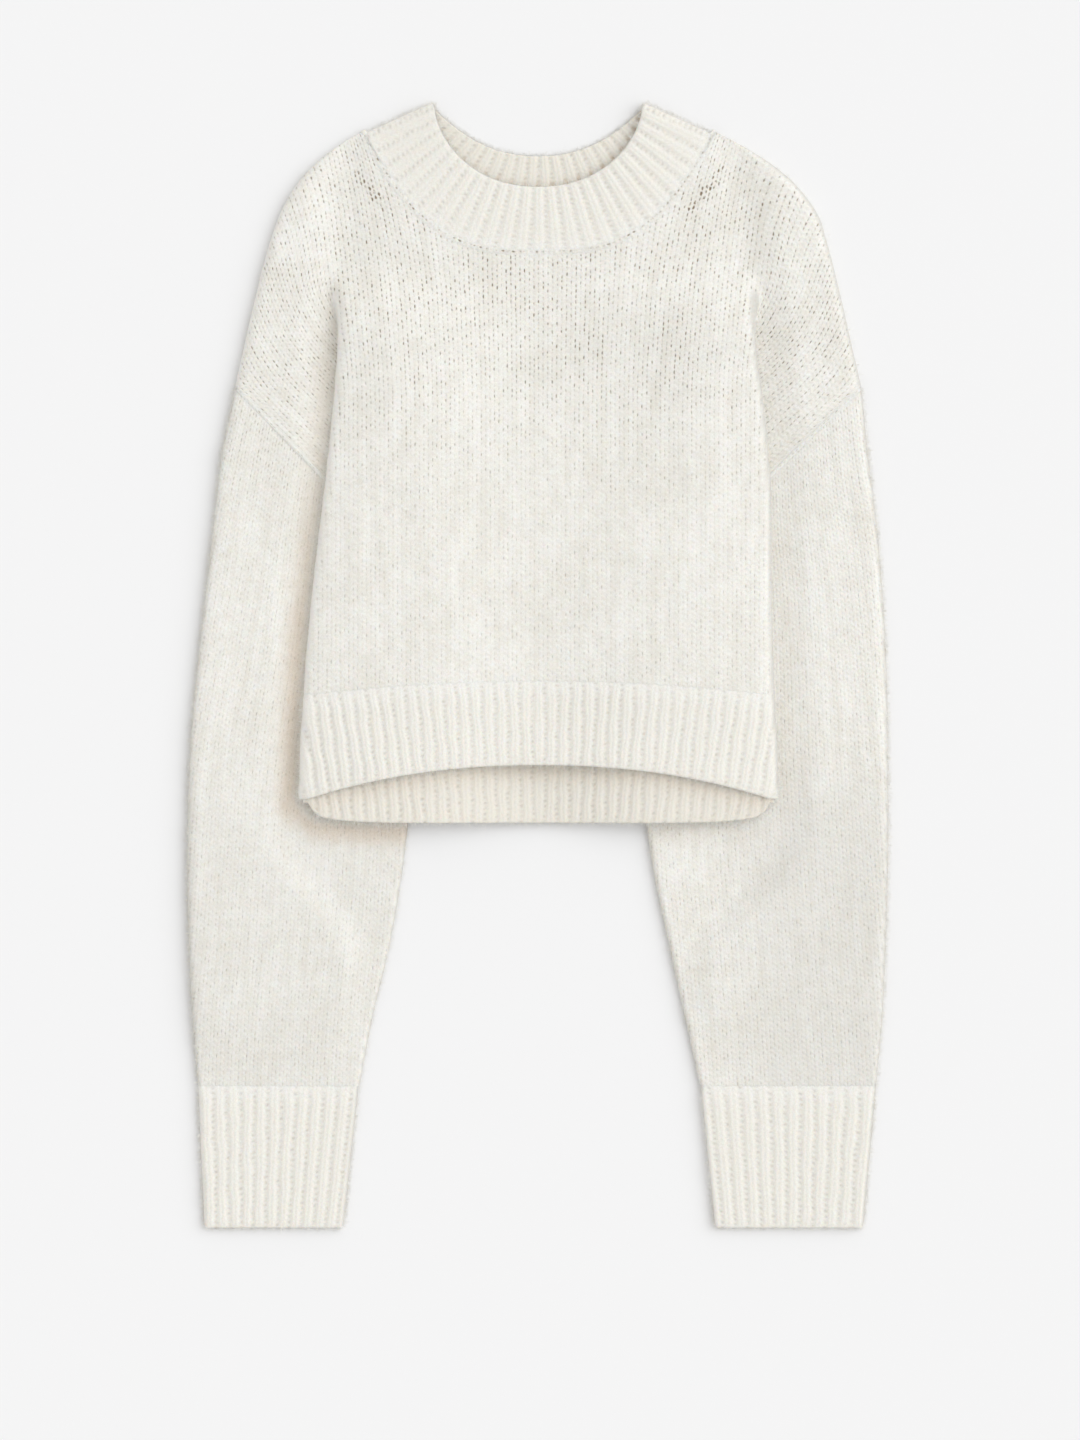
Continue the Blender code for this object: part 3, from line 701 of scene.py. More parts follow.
# %% Rib relief
CORD_SHARE = 0.31
EDGE_RADIUS = 1.7
TUCK_IN, TUCK_DEPTH = 4.5, 0.45


def rib_height(ribs, courses):
    """Height of ribbing, 0 in a groove and 1 on a cord; a cord's middle is a whole number."""
    off = np.abs(ribs - np.round(ribs))
    cord = 1 - ease((off - 0.20) / 0.26)
    leg = np.abs(np.sin(math.pi * np.minimum(off, CORD_SHARE) / CORD_SHARE))
    ridge = 0.5 - 0.5 * np.cos(2 * math.pi * (courses - 1.6 * off))
    purl = 0.5 - 0.5 * np.cos(2 * math.pi * courses)
    return cord * (0.86 + 0.14 * leg * (0.4 + 0.6 * ridge)) + (1 - cord) * 0.14 * purl


def uneven_ribs(ribs, courses):
    """Rib numbers with a slight waver from course to course."""
    return (ribs + 0.05 * np.sin(0.42 * courses + 1.9 * ribs)
            + 0.03 * np.sin(1.3 * courses + 0.7 * ribs))


def from_edge(marks, least=0.4, start=1.5, reach=3.0):
    """Share of a band's relief near its free edge, where the ribs are bound off."""
    return least + (1 - least) * ease((marks[:, None] - start) / reach)


def rib_strength(x):
    """How strongly a hem's ribs stand out: they flatten where the hem is pulled wider."""
    return 0.72 - 0.34 * np.exp(-((x / 34.0) ** 2)) + 0.14 * np.sin(x / 27.0 + 0.8)


def edge_drop(distance, radius=EDGE_RADIUS):
    """How far a rounded free edge falls away at a distance from the edge."""
    inside = np.clip(radius - distance, 0, radius)
    return radius - np.sqrt(radius ** 2 - inside ** 2)


def band_marks(length, step):
    """Distances from a band's free edge to its seam, close together at the edge."""
    rounded = np.array([0.0, 0.25, 0.7, 1.25])
    return np.concatenate([rounded, np.linspace(EDGE_RADIUS + 0.3, length, int(length / step))])


def band_rows(tall, step):
    """Rows of a band, the first ones tucked under the piece above it.

    For each row the distance from the free edge, the share of the way down from the seam
    and how deep it is tucked."""
    marks = band_marks(tall + TUCK_IN, step)[::-1]
    down = (tall - marks)[:, None] / tall
    return marks, down, TUCK_DEPTH * ease(-down * tall / TUCK_IN)


print("a rib is", float(rib_height(np.array(0.0), 0.5).round(2)), "high on its cord and",
      float(rib_height(np.array(0.5), 0.0).round(2)), "in its groove")

# %% [markdown]
# ## Hems
# The front hem is shorter than the back hem, so a strip of the back one shows under it.
# The hem's ribs are fixed to the cloth, so they follow it round the roll at each side.

# %% Hems
HEM_CORDS = 19.5
HEM_STEPS = 9
HEM_PITCH = (8.9, 8.32)
HEM_TALL = {"front": 62.0, "back": 66.0}
HEM_EDGE = {
    "front": ((-68.6, 0), (-23.4, 2.2)),
    "back": ((-109.0, 0), (5.5, 7), (8.5, 40)),
}
HEM_MIDDLE = -60.0
CURL, CURL_REACH = 1.3, 20.0
CURL_END, CURL_FADE = 165.0, 60.0


def hem_place(side, layer, cords, down):
    """A layer's place on the pair's path, for a rib number and a share from seam to edge."""
    path = cords * (HEM_PITCH[0] + np.clip(down, 0, 1) * (HEM_PITCH[1] - HEM_PITCH[0]))
    across = np.minimum(path / read(PLEAT, side, HEM_MIDDLE), 1.0)
    high = powers(HEM_SEAM[layer], across)
    height = high + down * (powers(HEM_EDGE[layer], across) - high)
    s = pleat(side, height)
    path = np.minimum(path, s["start"] + ROLL + s["leg"])
    out, level, turned, up = pair_at(side, height, path)
    extra = lift(side, out, height) * (path <= s["start"]) if layer == "front" else 0.0 * out
    return out, height, level, turned, up, extra, path - s["start"]


def edge_curl(x, distance):
    """How far the front hem's free edge stands up from what it lies on, a little unevenly."""
    uneven = 1 + 0.25 * np.sin(x / 23.0) + 0.2 * np.sin(x / 9.0 + 1.3)
    near = np.exp(-((distance / CURL_REACH) ** 2)) * ease((CURL_END - np.abs(x)) / CURL_FADE)
    return CURL * uneven * near


def hem(layer, step):
    """A hem's closed wall, ribbed on the side that shows, tucked under the panel's edge."""
    sign = 1.0 if layer == "front" else -1.0
    tall = HEM_TALL[layer]
    marks, down, sunk = band_rows(tall, step)
    drop = edge_drop(marks)[:, None]
    cords = np.concatenate([
        np.arange(0, HEM_CORDS + 1.4, 1 / HEM_STEPS),
        np.linspace(HEM_CORDS + 1.5, HEM_CORDS + 11, 30),
    ])
    halves = {}
    for side, flip in FLIP.items():
        out, height, level, turned, up, extra, past = hem_place(side, layer, cords[None, :], down)
        courses = down * tall / COURSE + 0 * out
        wavered = uneven_ribs(cords[None, :], courses)
        ribs = rib_height(wavered, courses)
        shown = 1 - 0.6 * ease(past / 10)
        grown = ease(down * 6 + 0.25) * rib_strength(flip * out)
        grown = grown * from_edge(marks, reach=3.5)
        top = AIR / 2 + WALL + RIB_RELIEF * (ribs * shown * grown - 0.12) - sunk
        bottom = AIR / 2 + 0 * top
        if layer == "back":
            edge = powers(HEM_EDGE["front"], np.clip(out / read(PLEAT, side, HEM_MIDDLE), 0, 1))
            exposed = ease((edge + 8 - height) / 8) * (past <= 0)
            top = AIR / 2 + WALL - 0.7 * (1 - ribs) - sunk
            bottom = AIR / 2 - RIB_RELIEF * (grown * ribs - 0.12) * exposed
        else:
            extra = extra + edge_curl(flip * out, marks[:, None]) * (past <= 0)
        top, bottom = sign * (top - drop), sign * (bottom + drop * 0.7)
        sides = [np.stack([flip * (out + turned * far), height, level + up * far + extra], -1)
                 for far in (top, bottom)]
        numbers = np.stack([flip * wavered, courses], -1)
        halves[side] = (*sides, numbers)
    thinning = (1, 1) if layer == "back" else (3, HEM_STEPS)
    # The back hem's inside is marked for painted shade.
    inner = (0.0, 1.0) if layer == "back" else (0.0, 0.0)
    return cloth_wall(layer + "_hem_rib", *both_sides(halves), step=thinning, inside=inner)


front_hem = hem("front", 1.3)
back_hem = hem("back", 1.5)
tell_triangles(front_hem, back_hem)

# %% [markdown]
# ## Sleeves
# A sleeve is a tube that lies flat, wide at the armhole and narrow at the cuff.  Its wales
# run straight down the middle, and at the seam along the inner edge they end one after the
# other, which is how a knitter narrows a sleeve.  So the columns are counted from the middle
# of the upper face, and where the tube grows narrow the outermost ones run into the seam.

# %% Sleeve tube
SLEEVE_WALE = {"left": 5.2, "right": 5.5}
SLEEVE_BELOW = 6.0
HALF_PITCH = HALF + WALL / 2
TURN_LENGTH = math.pi * HALF


def sleeve_edges(side, t):
    """Outer and inner edge of a sleeve, t from 0 at the armhole to 1 at the cuff."""
    names, rows = SLEEVE
    point_out, base = armhole_ends(side)
    run = np.array((base - point_out, UNDERARM - POINT_HEIGHT))
    run /= np.hypot(*run)
    away = np.array((-run[1], run[0]))
    top = np.array((point_out, POINT_HEIGHT)) + SEAM * away
    bottom = np.array((base, UNDERARM)) + SLEEVE_BELOW * run + SEAM * away
    table = [[0, top[1], bottom[1], 0.0, 0.0, 0.0, 0.0]] + [list(row) for row in rows]
    table[0][names.index("outer_" + side)] = top[0]
    table[0][names.index("inner_" + side)] = bottom[0]
    table, ring = (names, table), np.asarray(t) * len(rows)
    outer = np.stack([read(table, "outer_" + side, ring), read(table, "outer_height", ring)], -1)
    inner = np.stack([read(table, "inner_" + side, ring), read(table, "inner_height", ring)], -1)
    return outer, inner


def tube_size(outer, inner):
    """Unit vector across a flat tube, the length of its flat face, and its two limits."""
    across = inner - outer
    width = np.hypot(across[..., 0], across[..., 1])
    flat = width - 2 * HALF_PITCH
    low = -(1.5 * flat + 1.5 * TURN_LENGTH)
    high = 0.5 * flat + 0.5 * TURN_LENGTH
    return across / width[..., None], flat, low, high


def tube_place(outer, inner, girth):
    """A place round a flat tube, from the middle of its upper face towards the inner edge."""
    across, flat, low, high = tube_size(outer, inner)
    girth = np.clip(girth, low, high)
    toward = np.sign(girth) + (girth == 0)
    size = np.abs(girth)
    angle = np.clip((size - flat / 2) / HALF, 0, math.pi)
    under = np.clip(size - flat / 2 - TURN_LENGTH, 0, flat)
    last = np.clip((size - 1.5 * flat - TURN_LENGTH) / HALF, 0, math.pi)
    shift = toward * (np.minimum(size, flat / 2) - under)
    plan = (outer + inner) / 2 + across * shift[..., None]
    around = toward * (np.sin(angle) - np.sin(last))
    return plan, across * around[..., None], np.cos(angle) + 1 - np.cos(last), under > 0


def tube_points(side, outer, inner, girth, far, raised):
    """Points of a tube at a distance outwards from the middle of its two layers."""
    plan, around, up, _ = tube_place(outer, inner, girth)
    extra = plump(side, plan[..., 0], plan[..., 1]) * np.clip(up, 0, 1) if raised else 0.0
    place = plan + around * far[..., None]
    return np.stack([FLIP[side] * place[..., 0], place[..., 1], REST + up * far + extra], -1)


edges = sleeve_edges("left", np.array([0.0, 0.5, 1.0]))
print("sleeve width down its length in mm:", tube_size(*edges)[1].round(0).tolist())

# %% [markdown]
# ## Rows of a sleeve
# The courses are counted up from the cuff, square to the wales, and they end one by one at
# the slanting armhole, where the sleeve joins the body.

# %% Sleeves


def sleeve(side, per_wale, row_step, depth):
    """A sleeve's closed wall, fine on top and coarser beneath."""
    wale = SLEEVE_WALE[side]
    shares = np.linspace(1.0, 0.0, 420)
    outer, inner = sleeve_edges(side, shares)
    _, _, low, high = tube_size(outer, inner)
    reach_top = math.ceil(high.max() / wale)
    reach_under = math.floor(low.min() / wale)
    wales = np.concatenate([
        np.arange(reach_under, -reach_top, 0.5),
        np.arange(-reach_top, reach_top + 1 / per_wale, 1 / per_wale),
    ])
    girth = wales * wale
    plan = tube_place(outer[:, None], inner[:, None], girth[None, :])[0]
    steps = np.hypot(*np.moveaxis(np.diff(plan, axis=0), -1, 0))
    lengths = np.concatenate([np.zeros((1, len(wales))), np.cumsum(steps, axis=0)])
    marks = np.arange(0.0, lengths[-1].max() + row_step, row_step)
    along = np.minimum(marks[:, None], lengths[-1][None, :])
    t = np.stack([np.interp(along[:, i], lengths[:, i], shares) for i in range(len(wales))], 1)
    outer, inner = sleeve_edges(side, t)
    courses, numbers = along / COURSE, wales[None, :] + 0 * along
    relief = stitch_relief(numbers, courses)
    under = tube_place(outer, inner, girth[None, :])[3]
    _, _, low, high = tube_size(outer, inner)
    seam = np.clip(np.minimum(high - girth, girth - low) / wale, 0, 1)
    far = AIR / 2 + WALL + seam * depth * np.where(under, np.minimum(relief - 0.5, 0), relief)
    far = far - seam_sink(courses)
    face = tube_points(side, outer, inner, girth[None, :] + 0 * far, far, True)
    back = tube_points(side, outer, inner, girth[None, :] + 0 * far, 0 * far + AIR / 2, True)
    grids = face, back, np.stack([numbers, courses], -1)
    return cloth_wall("sleeve_%s_knit" % side, *grids, step=(8, 2 * per_wale), ring=True)


sleeves = {side: sleeve(side, 4 if fine else 2, COURSE / (3 if fine else 1.5), 0.45)
           for side in FLIP}
tell_triangles(*sleeves.values())

# %% [markdown]
# ## Cuffs
# A cuff is a ribbed tube, a little narrower than the end of the sleeve, with an open end.

# %% Cuffs
CUFF_CORDS = 11
CUFF_RELIEF = 0.75
CUFF_STEPS = 8


def cuff(side, step):
    """A cuff's closed wall, ribbed all round."""
    outer_top, inner_top = (edge[0] - (0, SEAM) for edge in sleeve_edges(side, np.array([1.0])))
    outer_end, inner_end = (np.array((out, CUFF_LOW)) for out in CUFF_END[side])
    tall = float(outer_top[1] - CUFF_LOW)
    marks, down, sunk = band_rows(tall, step)
    outer = outer_top + down[..., None] * (outer_end - outer_top)
    inner = inner_top + down[..., None] * (inner_end - inner_top)
    _, _, low, high = tube_size(outer, inner)
    cords = 2 * CUFF_CORDS + 1
    shares = np.linspace(0, 1, cords * CUFF_STEPS + 1)
    girth = low + shares[None, :] * (high - low)
    courses = down * tall / COURSE + 0 * girth
    closed = np.sin(math.pi * shares[None, :])
    whole = shares[None, :] * cords
    ribs = whole + closed * (uneven_ribs(whole, courses) - whole)
    under = tube_place(outer, inner, girth)[3]
    relief = rib_height(ribs, courses) * ease(down * 8 + 0.25)
    relief = relief * CUFF_RELIEF * from_edge(marks)
    grown = np.where(under, 0.7 * (relief - 1), RIB_RELIEF * (relief - 0.12)) - sunk
    drop = edge_drop(marks)[:, None]
    outside = AIR / 2 + WALL + grown - drop
    face = tube_points(side, outer, inner, girth, outside, False)
    back = tube_points(side, outer, inner, girth, AIR / 2 + 0 * girth + drop * 0.6, False)
    grids = face, back, np.stack([ribs, courses], -1)
    return cloth_wall("cuff_%s_rib" % side, *grids, step=(4, 4), ring=True)


cuffs = {side: cuff(side, 1.4) for side in FLIP}
tell_triangles(*cuffs.values())

# %% [markdown]
# ## Neckband
# The neckband is a ribbed ring that stands up from the neck.  Laid flat, its front half lies
# on its back half, and between the two one looks onto the inside of the back, so both faces
# of this piece are ribbed and fine.

# %% Neckband
FRONT_NECK_CORDS, BACK_NECK_CORDS, NECK_TURN_CORDS = 25, 22, 0.5
NECK_STEPS = 9
COLLAR_END_LEVEL, COLLAR_MIDDLE_LEVEL = 8.0, 6.6
NECK_RELIEF = 0.6
NECK_TALL = 50.0


def neck_curve(layer, t, count=400):
    """Points along the band at a share t of its width, evenly spaced from left to right."""
    shape = NECK_SHAPE[layer]
    half_width = NECK_HALF_WIDTH + t * (COLLAR_HALF_WIDTH - NECK_HALF_WIDTH)
    top = NECK_TOP + t * (COLLAR_TOP - NECK_TOP)
    low = shape["low"] + t * (shape["collar_low"] - shape["low"])
    xs = -half_width * np.cos(np.linspace(0.0, math.pi, count))
    ys = low + (top - low) * neck_share(np.abs(xs) / half_width, shape, t)
    lengths = np.concatenate([[0.0], np.cumsum(np.hypot(np.diff(xs), np.diff(ys)))])
    return lambda s: np.stack([np.interp(s * lengths[-1], lengths, xs),
                               np.interp(s * lengths[-1], lengths, ys)], -1)


def collar_level(t, s, plan):
    """Height of the middle of the front of the band."""
    sides = [lift(side, np.abs(plan[..., 0]), plan[..., 1]) for side in FLIP]
    seam_level = REST + HALF + np.where(plan[..., 0] < 0, *sides)
    middle = np.sin(math.pi * s) ** 2
    end_level = COLLAR_END_LEVEL + middle * (COLLAR_MIDDLE_LEVEL - COLLAR_END_LEVEL)
    return seam_level + t * (end_level - seam_level)


def collar_row(t, front_s, turn_angles, back_s):
    """Middle and normal of one row of the band: front, right turn, back, left turn."""
    front, back, seam = neck_curve("front", t), neck_curve("back", t), neck_curve("front", 0.0)
    back_level = REST - HALF
    middles, normals = [], []

    def turn(s, flip, angles):
        """Adds the points where the band turns round at one end."""
        level = float(collar_level(t, s, seam(s)))
        radius = (level - back_level) / 2
        run = np.array((COLLAR_HALF_WIDTH - NECK_HALF_WIDTH, COLLAR_TOP - NECK_TOP))
        run /= np.hypot(*run)
        side = np.array((flip * run[1], -run[0]))
        normal = np.stack([side[0] * np.sin(angles), side[1] * np.sin(angles), np.cos(angles)], -1)
        middle = np.concatenate([front(s) + radius * normal[:, :2],
                                 back_level + radius * (1 + normal[:, 2:])], axis=1)
        middles.append(middle)
        normals.append(normal)

    level = collar_level(t, front_s, seam(front_s))
    middles.append(np.column_stack([front(front_s), level]))
    normals.append(np.tile((0.0, 0.0, 1.0), (len(front_s), 1)))
    turn(1.0, 1, turn_angles)
    middles.append(np.column_stack([back(back_s), 0 * back_s + back_level]))
    normals.append(np.tile((0.0, 0.0, -1.0), (len(back_s), 1)))
    turn(0.0, -1, turn_angles[::-1])
    return np.concatenate(middles), np.concatenate(normals)


def neckband(step):
    """The band's closed wall, ribbed on both faces."""
    marks = band_marks(NECK_TALL, step)[::-1]
    shares = 1 - marks / NECK_TALL
    front_s = np.linspace(0, 1, FRONT_NECK_CORDS * NECK_STEPS + 1)
    back_s = np.linspace(1, 0, BACK_NECK_CORDS * NECK_STEPS + 1)
    angles = np.linspace(0, math.pi, 10)[1:-1]
    rows = [collar_row(t, front_s, angles, back_s) for t in shares]
    rows = [tuple(np.concatenate([part, part[:1]]) for part in row) for row in rows]
    middle, normal = (np.stack([row[i] for row in rows]) for i in (0, 1))
    turn_ribs = np.linspace(0, NECK_TURN_CORDS, 10)[1:-1]
    first, second = FRONT_NECK_CORDS, BACK_NECK_CORDS
    numbers = np.concatenate([
        front_s * first, first + turn_ribs, first + NECK_TURN_CORDS + (1 - back_s) * second,
        first + NECK_TURN_CORDS + second + turn_ribs, [first + second + 2 * NECK_TURN_CORDS],
    ]) - 0.5
    t = shares[:, None]
    ribs = numbers[None, :] + 0 * t
    courses = t * NECK_TALL / COURSE + 0 * ribs
    relief = rib_height(ribs, courses)
    inner_relief = rib_height(ribs + 0.5, courses)
    grown = np.minimum(1.0, 0.4 + t)
    drop = edge_drop(marks)[:, None]
    above = normal[..., 2] > 0.5
    below = normal[..., 2] < -0.5
    grown = grown * from_edge(marks, 0.35, 1.0)
    outside = np.where(above, NECK_RELIEF * grown * (relief - 0.12), 0.6 * (relief - 1))
    room = middle[..., 2].max(axis=1, keepdims=True) - (REST - HALF) - WALL - AIR
    inside = np.where(below, np.minimum(NECK_RELIEF, room) * t * (inner_relief - 0.1),
                      0.5 * (inner_relief - 1))
    face = middle + normal * (WALL / 2 + outside - drop)[..., None]
    back = middle - normal * (WALL / 2 + inside - drop)[..., None]
    # The back half's inside is marked for painted shade.
    return cloth_wall("neckband_rib", face, back, np.stack([ribs, courses], -1), step=(1, 1),
                      ring=True, back_stitches=np.stack([ribs + 0.5, courses], -1),
                      inside=(0.0, 1.0))


collar = neckband(1.4)
tell_triangles(collar)

# %% [markdown]
# ## Seams
# Knitted pieces are linked loop by loop, which leaves a low chain along each seam.  Each is
# made as a flattened tube along the seam's line, half sunk into the cloth, and swells a
# little at every loop.

# %% Seam chains
CHAIN_SIDES = 9
CHAIN_STEP, CHAIN_LOOP = 1.2, 4.2
CHAIN_END, CHAIN_FADE, CHAIN_LOW = 1.5, 40.0, 0.45
NECK_CHAIN_OUT, NECK_CHAIN_SINK = 0.4, 0.85
SHOULDER_CHAIN_TOP = (371.2, NECK_HALF_WIDTH - 1.0)


def chain(name, line, width, height):
    """A low chain along a line of points, with a swelling for every loop."""
    steps = np.linalg.norm(np.diff(line, axis=0), axis=1)
    lengths = np.concatenate([[0.0], np.cumsum(steps)])
    marks = np.linspace(0, lengths[-1], int(lengths[-1] / CHAIN_STEP))
    path = np.stack([np.interp(marks, lengths, line[:, i]) for i in range(3)], -1)
    run = np.gradient(path, axis=0)
    run = run / np.linalg.norm(run, axis=1, keepdims=True)
    side = np.cross(run, (0.0, 0.0, 1.0))
    side = side / np.linalg.norm(side, axis=1, keepdims=True)
    up = np.cross(side, run)
    angles = np.linspace(0, 2 * math.pi, CHAIN_SIDES)
    domed = np.sin(angles) * np.abs(np.sin(angles)) ** 0.7
    swell = 0.8 + 0.2 * np.abs(np.sin(math.pi * marks / CHAIN_LOOP))[:, None, None]
    end = np.minimum(marks, lengths[-1] - marks)[:, None, None]
    ends = np.minimum(1.0, end / CHAIN_END) ** 0.5
    low = CHAIN_LOW + (1 - CHAIN_LOW) * ease(end / CHAIN_FADE)
    around = (side[:, None] * np.cos(angles)[None, :, None] * width / 2
              - up[:, None] * domed[None, :, None] * height * low) * swell * ends
    grid = new_grid(name, len(marks), CHAIN_SIDES)
    turns = np.broadcast_to(angles / (2 * math.pi), (len(marks), CHAIN_SIDES))
    loops = np.broadcast_to(marks[:, None] / COURSE, turns.shape)
    lay(grid, path[:, None] + around, np.stack([turns * 2, loops], -1))
    tidy_mesh(grid)
    return grid


def front_face(side, out, height):
    """Height of the front's face on the open shoulder and chest."""
    return FACE_LEVEL + plump(side, out, height)


def neck_chain():
    """The chain where the neckband is linked to the front."""
    plan = neck_curve("front", 0.0)(np.linspace(0.0, 1.0, 200))
    run = np.gradient(plan, axis=0)
    run = run / np.linalg.norm(run, axis=1, keepdims=True)
    away = np.column_stack([run[:, 1], -run[:, 0]])
    plan = plan + away * NECK_CHAIN_OUT
    ends = np.array(((-NECK_POINT[0] - 1.6, NECK_POINT[1] - 0.4),))
    plan = np.concatenate([ends, plan, ends * (-1, 1)])
    sides = [lift(side, np.abs(plan[:, 0]), plan[:, 1]) for side in FLIP]
    level = FACE_LEVEL + np.where(plan[:, 0] < 0, *sides)
    line = np.column_stack([plan, level - NECK_CHAIN_SINK])
    return chain("neck_chain", line, width=8.2, height=1.4)


def armhole_chain(side):
    """The chain between a shoulder and its sleeve."""
    heights = np.linspace(POINT_HEIGHT - 1.0, UNDERARM, 100)
    outs = armhole(side, heights)
    level = front_face(side, outs, heights) - 0.25
    line = np.column_stack([FLIP[side] * outs, heights, level])
    return chain("armhole_chain_" + side, line, width=3.4, height=0.95)


def shoulder_chain(side):
    """The chain along the shoulder's edge, between front and back."""
    heights, outs, _ = outline(side)
    heights = np.concatenate([SHOULDER_CHAIN_TOP[:1], heights])
    outs = np.concatenate([SHOULDER_CHAIN_TOP[1:], outs])
    line = np.column_stack([FLIP[side] * (outs - 0.9), heights, 0 * outs + REST])
    return chain("shoulder_chain_" + side, line, width=2.4, height=1.9)


chains = [neck_chain()]
for side in FLIP:
    chains += [armhole_chain(side), shoulder_chain(side)]
tell_triangles(*chains)

# %% [markdown]
# ## Yarn
# The cloth is a soft off-white wool.  Its colour hardly changes, but each stitch opening is
# painted darker and warmer as the shade inside the hole, the yarn has slow uneven tones,
# and a fine haze of fibres gives a sheen at grazing angles.  The pattern is read from the UV
# map, where one unit is one wale across and one course up, so it follows every fold.  Its
# formulas are chains of Math nodes, and the class below lets them be written as plain
# arithmetic.

# %% Material helpers


class Value:
    """What comes out of a node.  Arithmetic with it adds Math nodes to the same tree."""

    def __init__(self, tree, socket):
        self.tree, self.socket = tree, socket

    def __add__(self, other):
        return sums("ADD", self, other)

    def __sub__(self, other):
        return sums("SUBTRACT", self, other)

    def __rsub__(self, other):
        return sums("SUBTRACT", other, self)

    def __mul__(self, other):
        return sums("MULTIPLY", self, other)

    def __truediv__(self, other):
        return sums("DIVIDE", self, other)

    def __pow__(self, other):
        return sums("POWER", self, other)

    def __abs__(self):
        return sums("ABSOLUTE", self)


def feed(socket, value):
    """Gives a node's input a fixed value, or links it to what comes out of another node."""
    if isinstance(value, Value):
        value.tree.links.new(value.socket, socket)
    else:
        socket.default_value = value


def add_node(tree, kind, inputs=(), output=0, **settings):
    """A new node with its settings and inputs; what comes out of it."""
    node = tree.nodes.new("ShaderNode" + kind)
    for name, setting in settings.items():
        setattr(node, name, setting)
    for name, value in dict(inputs).items():
        feed(node.inputs[name], value)
    return Value(tree, node.outputs[output])


def sums(kind, *values):
    """A Math node; each value is a number or what comes out of another node."""
    tree = next(value.tree for value in values if isinstance(value, Value))
    return add_node(tree, "Math", enumerate(values), operation=kind)


def noise(place, scale, detail=2.0, rough=0.5):
    """Soft noise from 0 to 1; a higher scale is finer."""
    inputs = {"Vector": place, "Scale": scale, "Detail": detail, "Roughness": rough}
    return add_node(place.tree, "TexNoise", inputs, "Fac")


def blend(share, first, second, kind="MIX"):
    """A colour between two others, which are fixed or come out of nodes."""
    first_colour, second_colour, mixed = 6, 7, 2
    return add_node(share.tree, "Mix", {0: share, first_colour: first, second_colour: second},
                    mixed, data_type="RGBA", blend_type=kind)


def spread(value, low, high):
    """Stretches a value's range from low to high over 0 to 1, with soft ends."""
    inputs = {"Value": value, "From Min": low, "From Max": high}
    return add_node(value.tree, "MapRange", inputs, "Result", interpolation_type="SMOOTHSTEP")


def join(x, y):
    """A vector from two numbers."""
    return add_node(x.tree, "CombineXYZ", {"X": x, "Y": y})


def split(vector):
    """The first two numbers of a vector."""
    return [add_node(vector.tree, "SeparateXYZ", {0: vector}, label) for label in "XY"]


def object_place(tree):
    """The place of a point in the garment's frame, in metres."""
    return add_node(tree, "TexCoord", output="Object")


def mark(tree, name):
    """A number that was marked on the mesh's points."""
    return add_node(tree, "Attribute", output="Fac", attribute_name=name)


def new_material(name):
    """A fresh material and its node tree."""
    made = bpy.data.materials.new(name)
    made.use_nodes = True
    return made, made.node_tree


def set_shader(tree, looks):
    """Sets inputs of a material's shader."""
    for name, value in looks.items():
        feed(tree.nodes["Principled BSDF"].inputs[name], value)


def wave(phase):
    """A soft wave from 0 at whole numbers to 1 halfway between."""
    return sums("COSINE", phase * (2 * math.pi)) * -0.5 + 0.5


trial, trial_tree = new_material("trial")
wave(mark(trial_tree, "painted_shading"))
print("a wave of a mark takes these nodes:", [node.bl_label for node in trial_tree.nodes][2:])
bpy.data.materials.remove(trial)

# %% [markdown]
# ## Painted light and shade on the yarn
# Two numbers are marked on the points of each piece, and both are painted into the yarn's
# colour as light and shade.  The first says which way an edge faces: it paints shade on an
# edge that faces the window and paints light on one that faces away, and it also makes the
# sleeves darker towards the cuffs.  The second paints a warm shade on cloth beside a fold,
# below a hem and behind the collar.

# %% Aspects and nooks
WINDOW = (0.91, 0.41)
# Edges that face the window get painted shade, edges that face away get painted light.
ASPECT_LEAST, ASPECT_RANGE = 0.32, 0.4
DULL_SLEEVE = {"left": 0.15, "right": 0.3}
DULL_OUT, DULL_OUT_FADE = 115.0, 60.0
DULL_LOW, DULL_LOW_FADE = -30.0, 110.0
# How strong and how wide the warm painted shade is beside the folds, below the front hem and
# behind the collar.
NOOK_SHARE = {"left": 1.0, "right": 0.15}
NOOK_DEPTHS = ((0.22, PLEAT_OPEN, 90.0), (0.28, 150.0, 150.0))
NOOK_TINT, NOOK_RIM, NOOK_RIM_WIDTH, NOOK_REACH = 1.1, 0.25, 7.0, 16.0
NOOK_LOWEST, NOOK_LEAST_UP = -95.0, -0.2
HEM_HALF_WIDTH = 162.0
HEM_NOOK_RIM, HEM_NOOK, HEM_NOOK_RIM_WIDTH, HEM_NOOK_REACH = 0.08, 0.22, 6.0, 11.0
COLLAR_NOOK, COLLAR_NOOK_MORE, COLLAR_NOOK_FADE, COLLAR_NOOK_REACH = 0.3, 0.5, 50.0, 4.0
UP_FADE = 3.0


def fold_edge(side, height):
    """Half width of the body's fold."""
    return pleat(side, np.clip(height, NOOK_LOWEST, PLEAT_OPEN))["start"] + REACH


def beside_body(side, out, height):
    """Strength of the painted shade on the cloth right beside the body's fold or below its back
    hem.
    """
    fold = fold_edge(side, height)
    edge = powers(HEM_EDGE["back"], np.minimum(out / fold, 1.0))
    away = np.hypot(np.maximum(out - fold, 0), np.maximum(edge - height, 0))
    shut = sum(share * ease((top - height) / fade) for share, top, fade in NOOK_DEPTHS)
    rim = NOOK_RIM + (1 - NOOK_RIM) * ease(away / NOOK_RIM_WIDTH)
    return NOOK_TINT * shut * rim * np.exp(-((away / NOOK_REACH) ** 4)) * NOOK_SHARE[side]


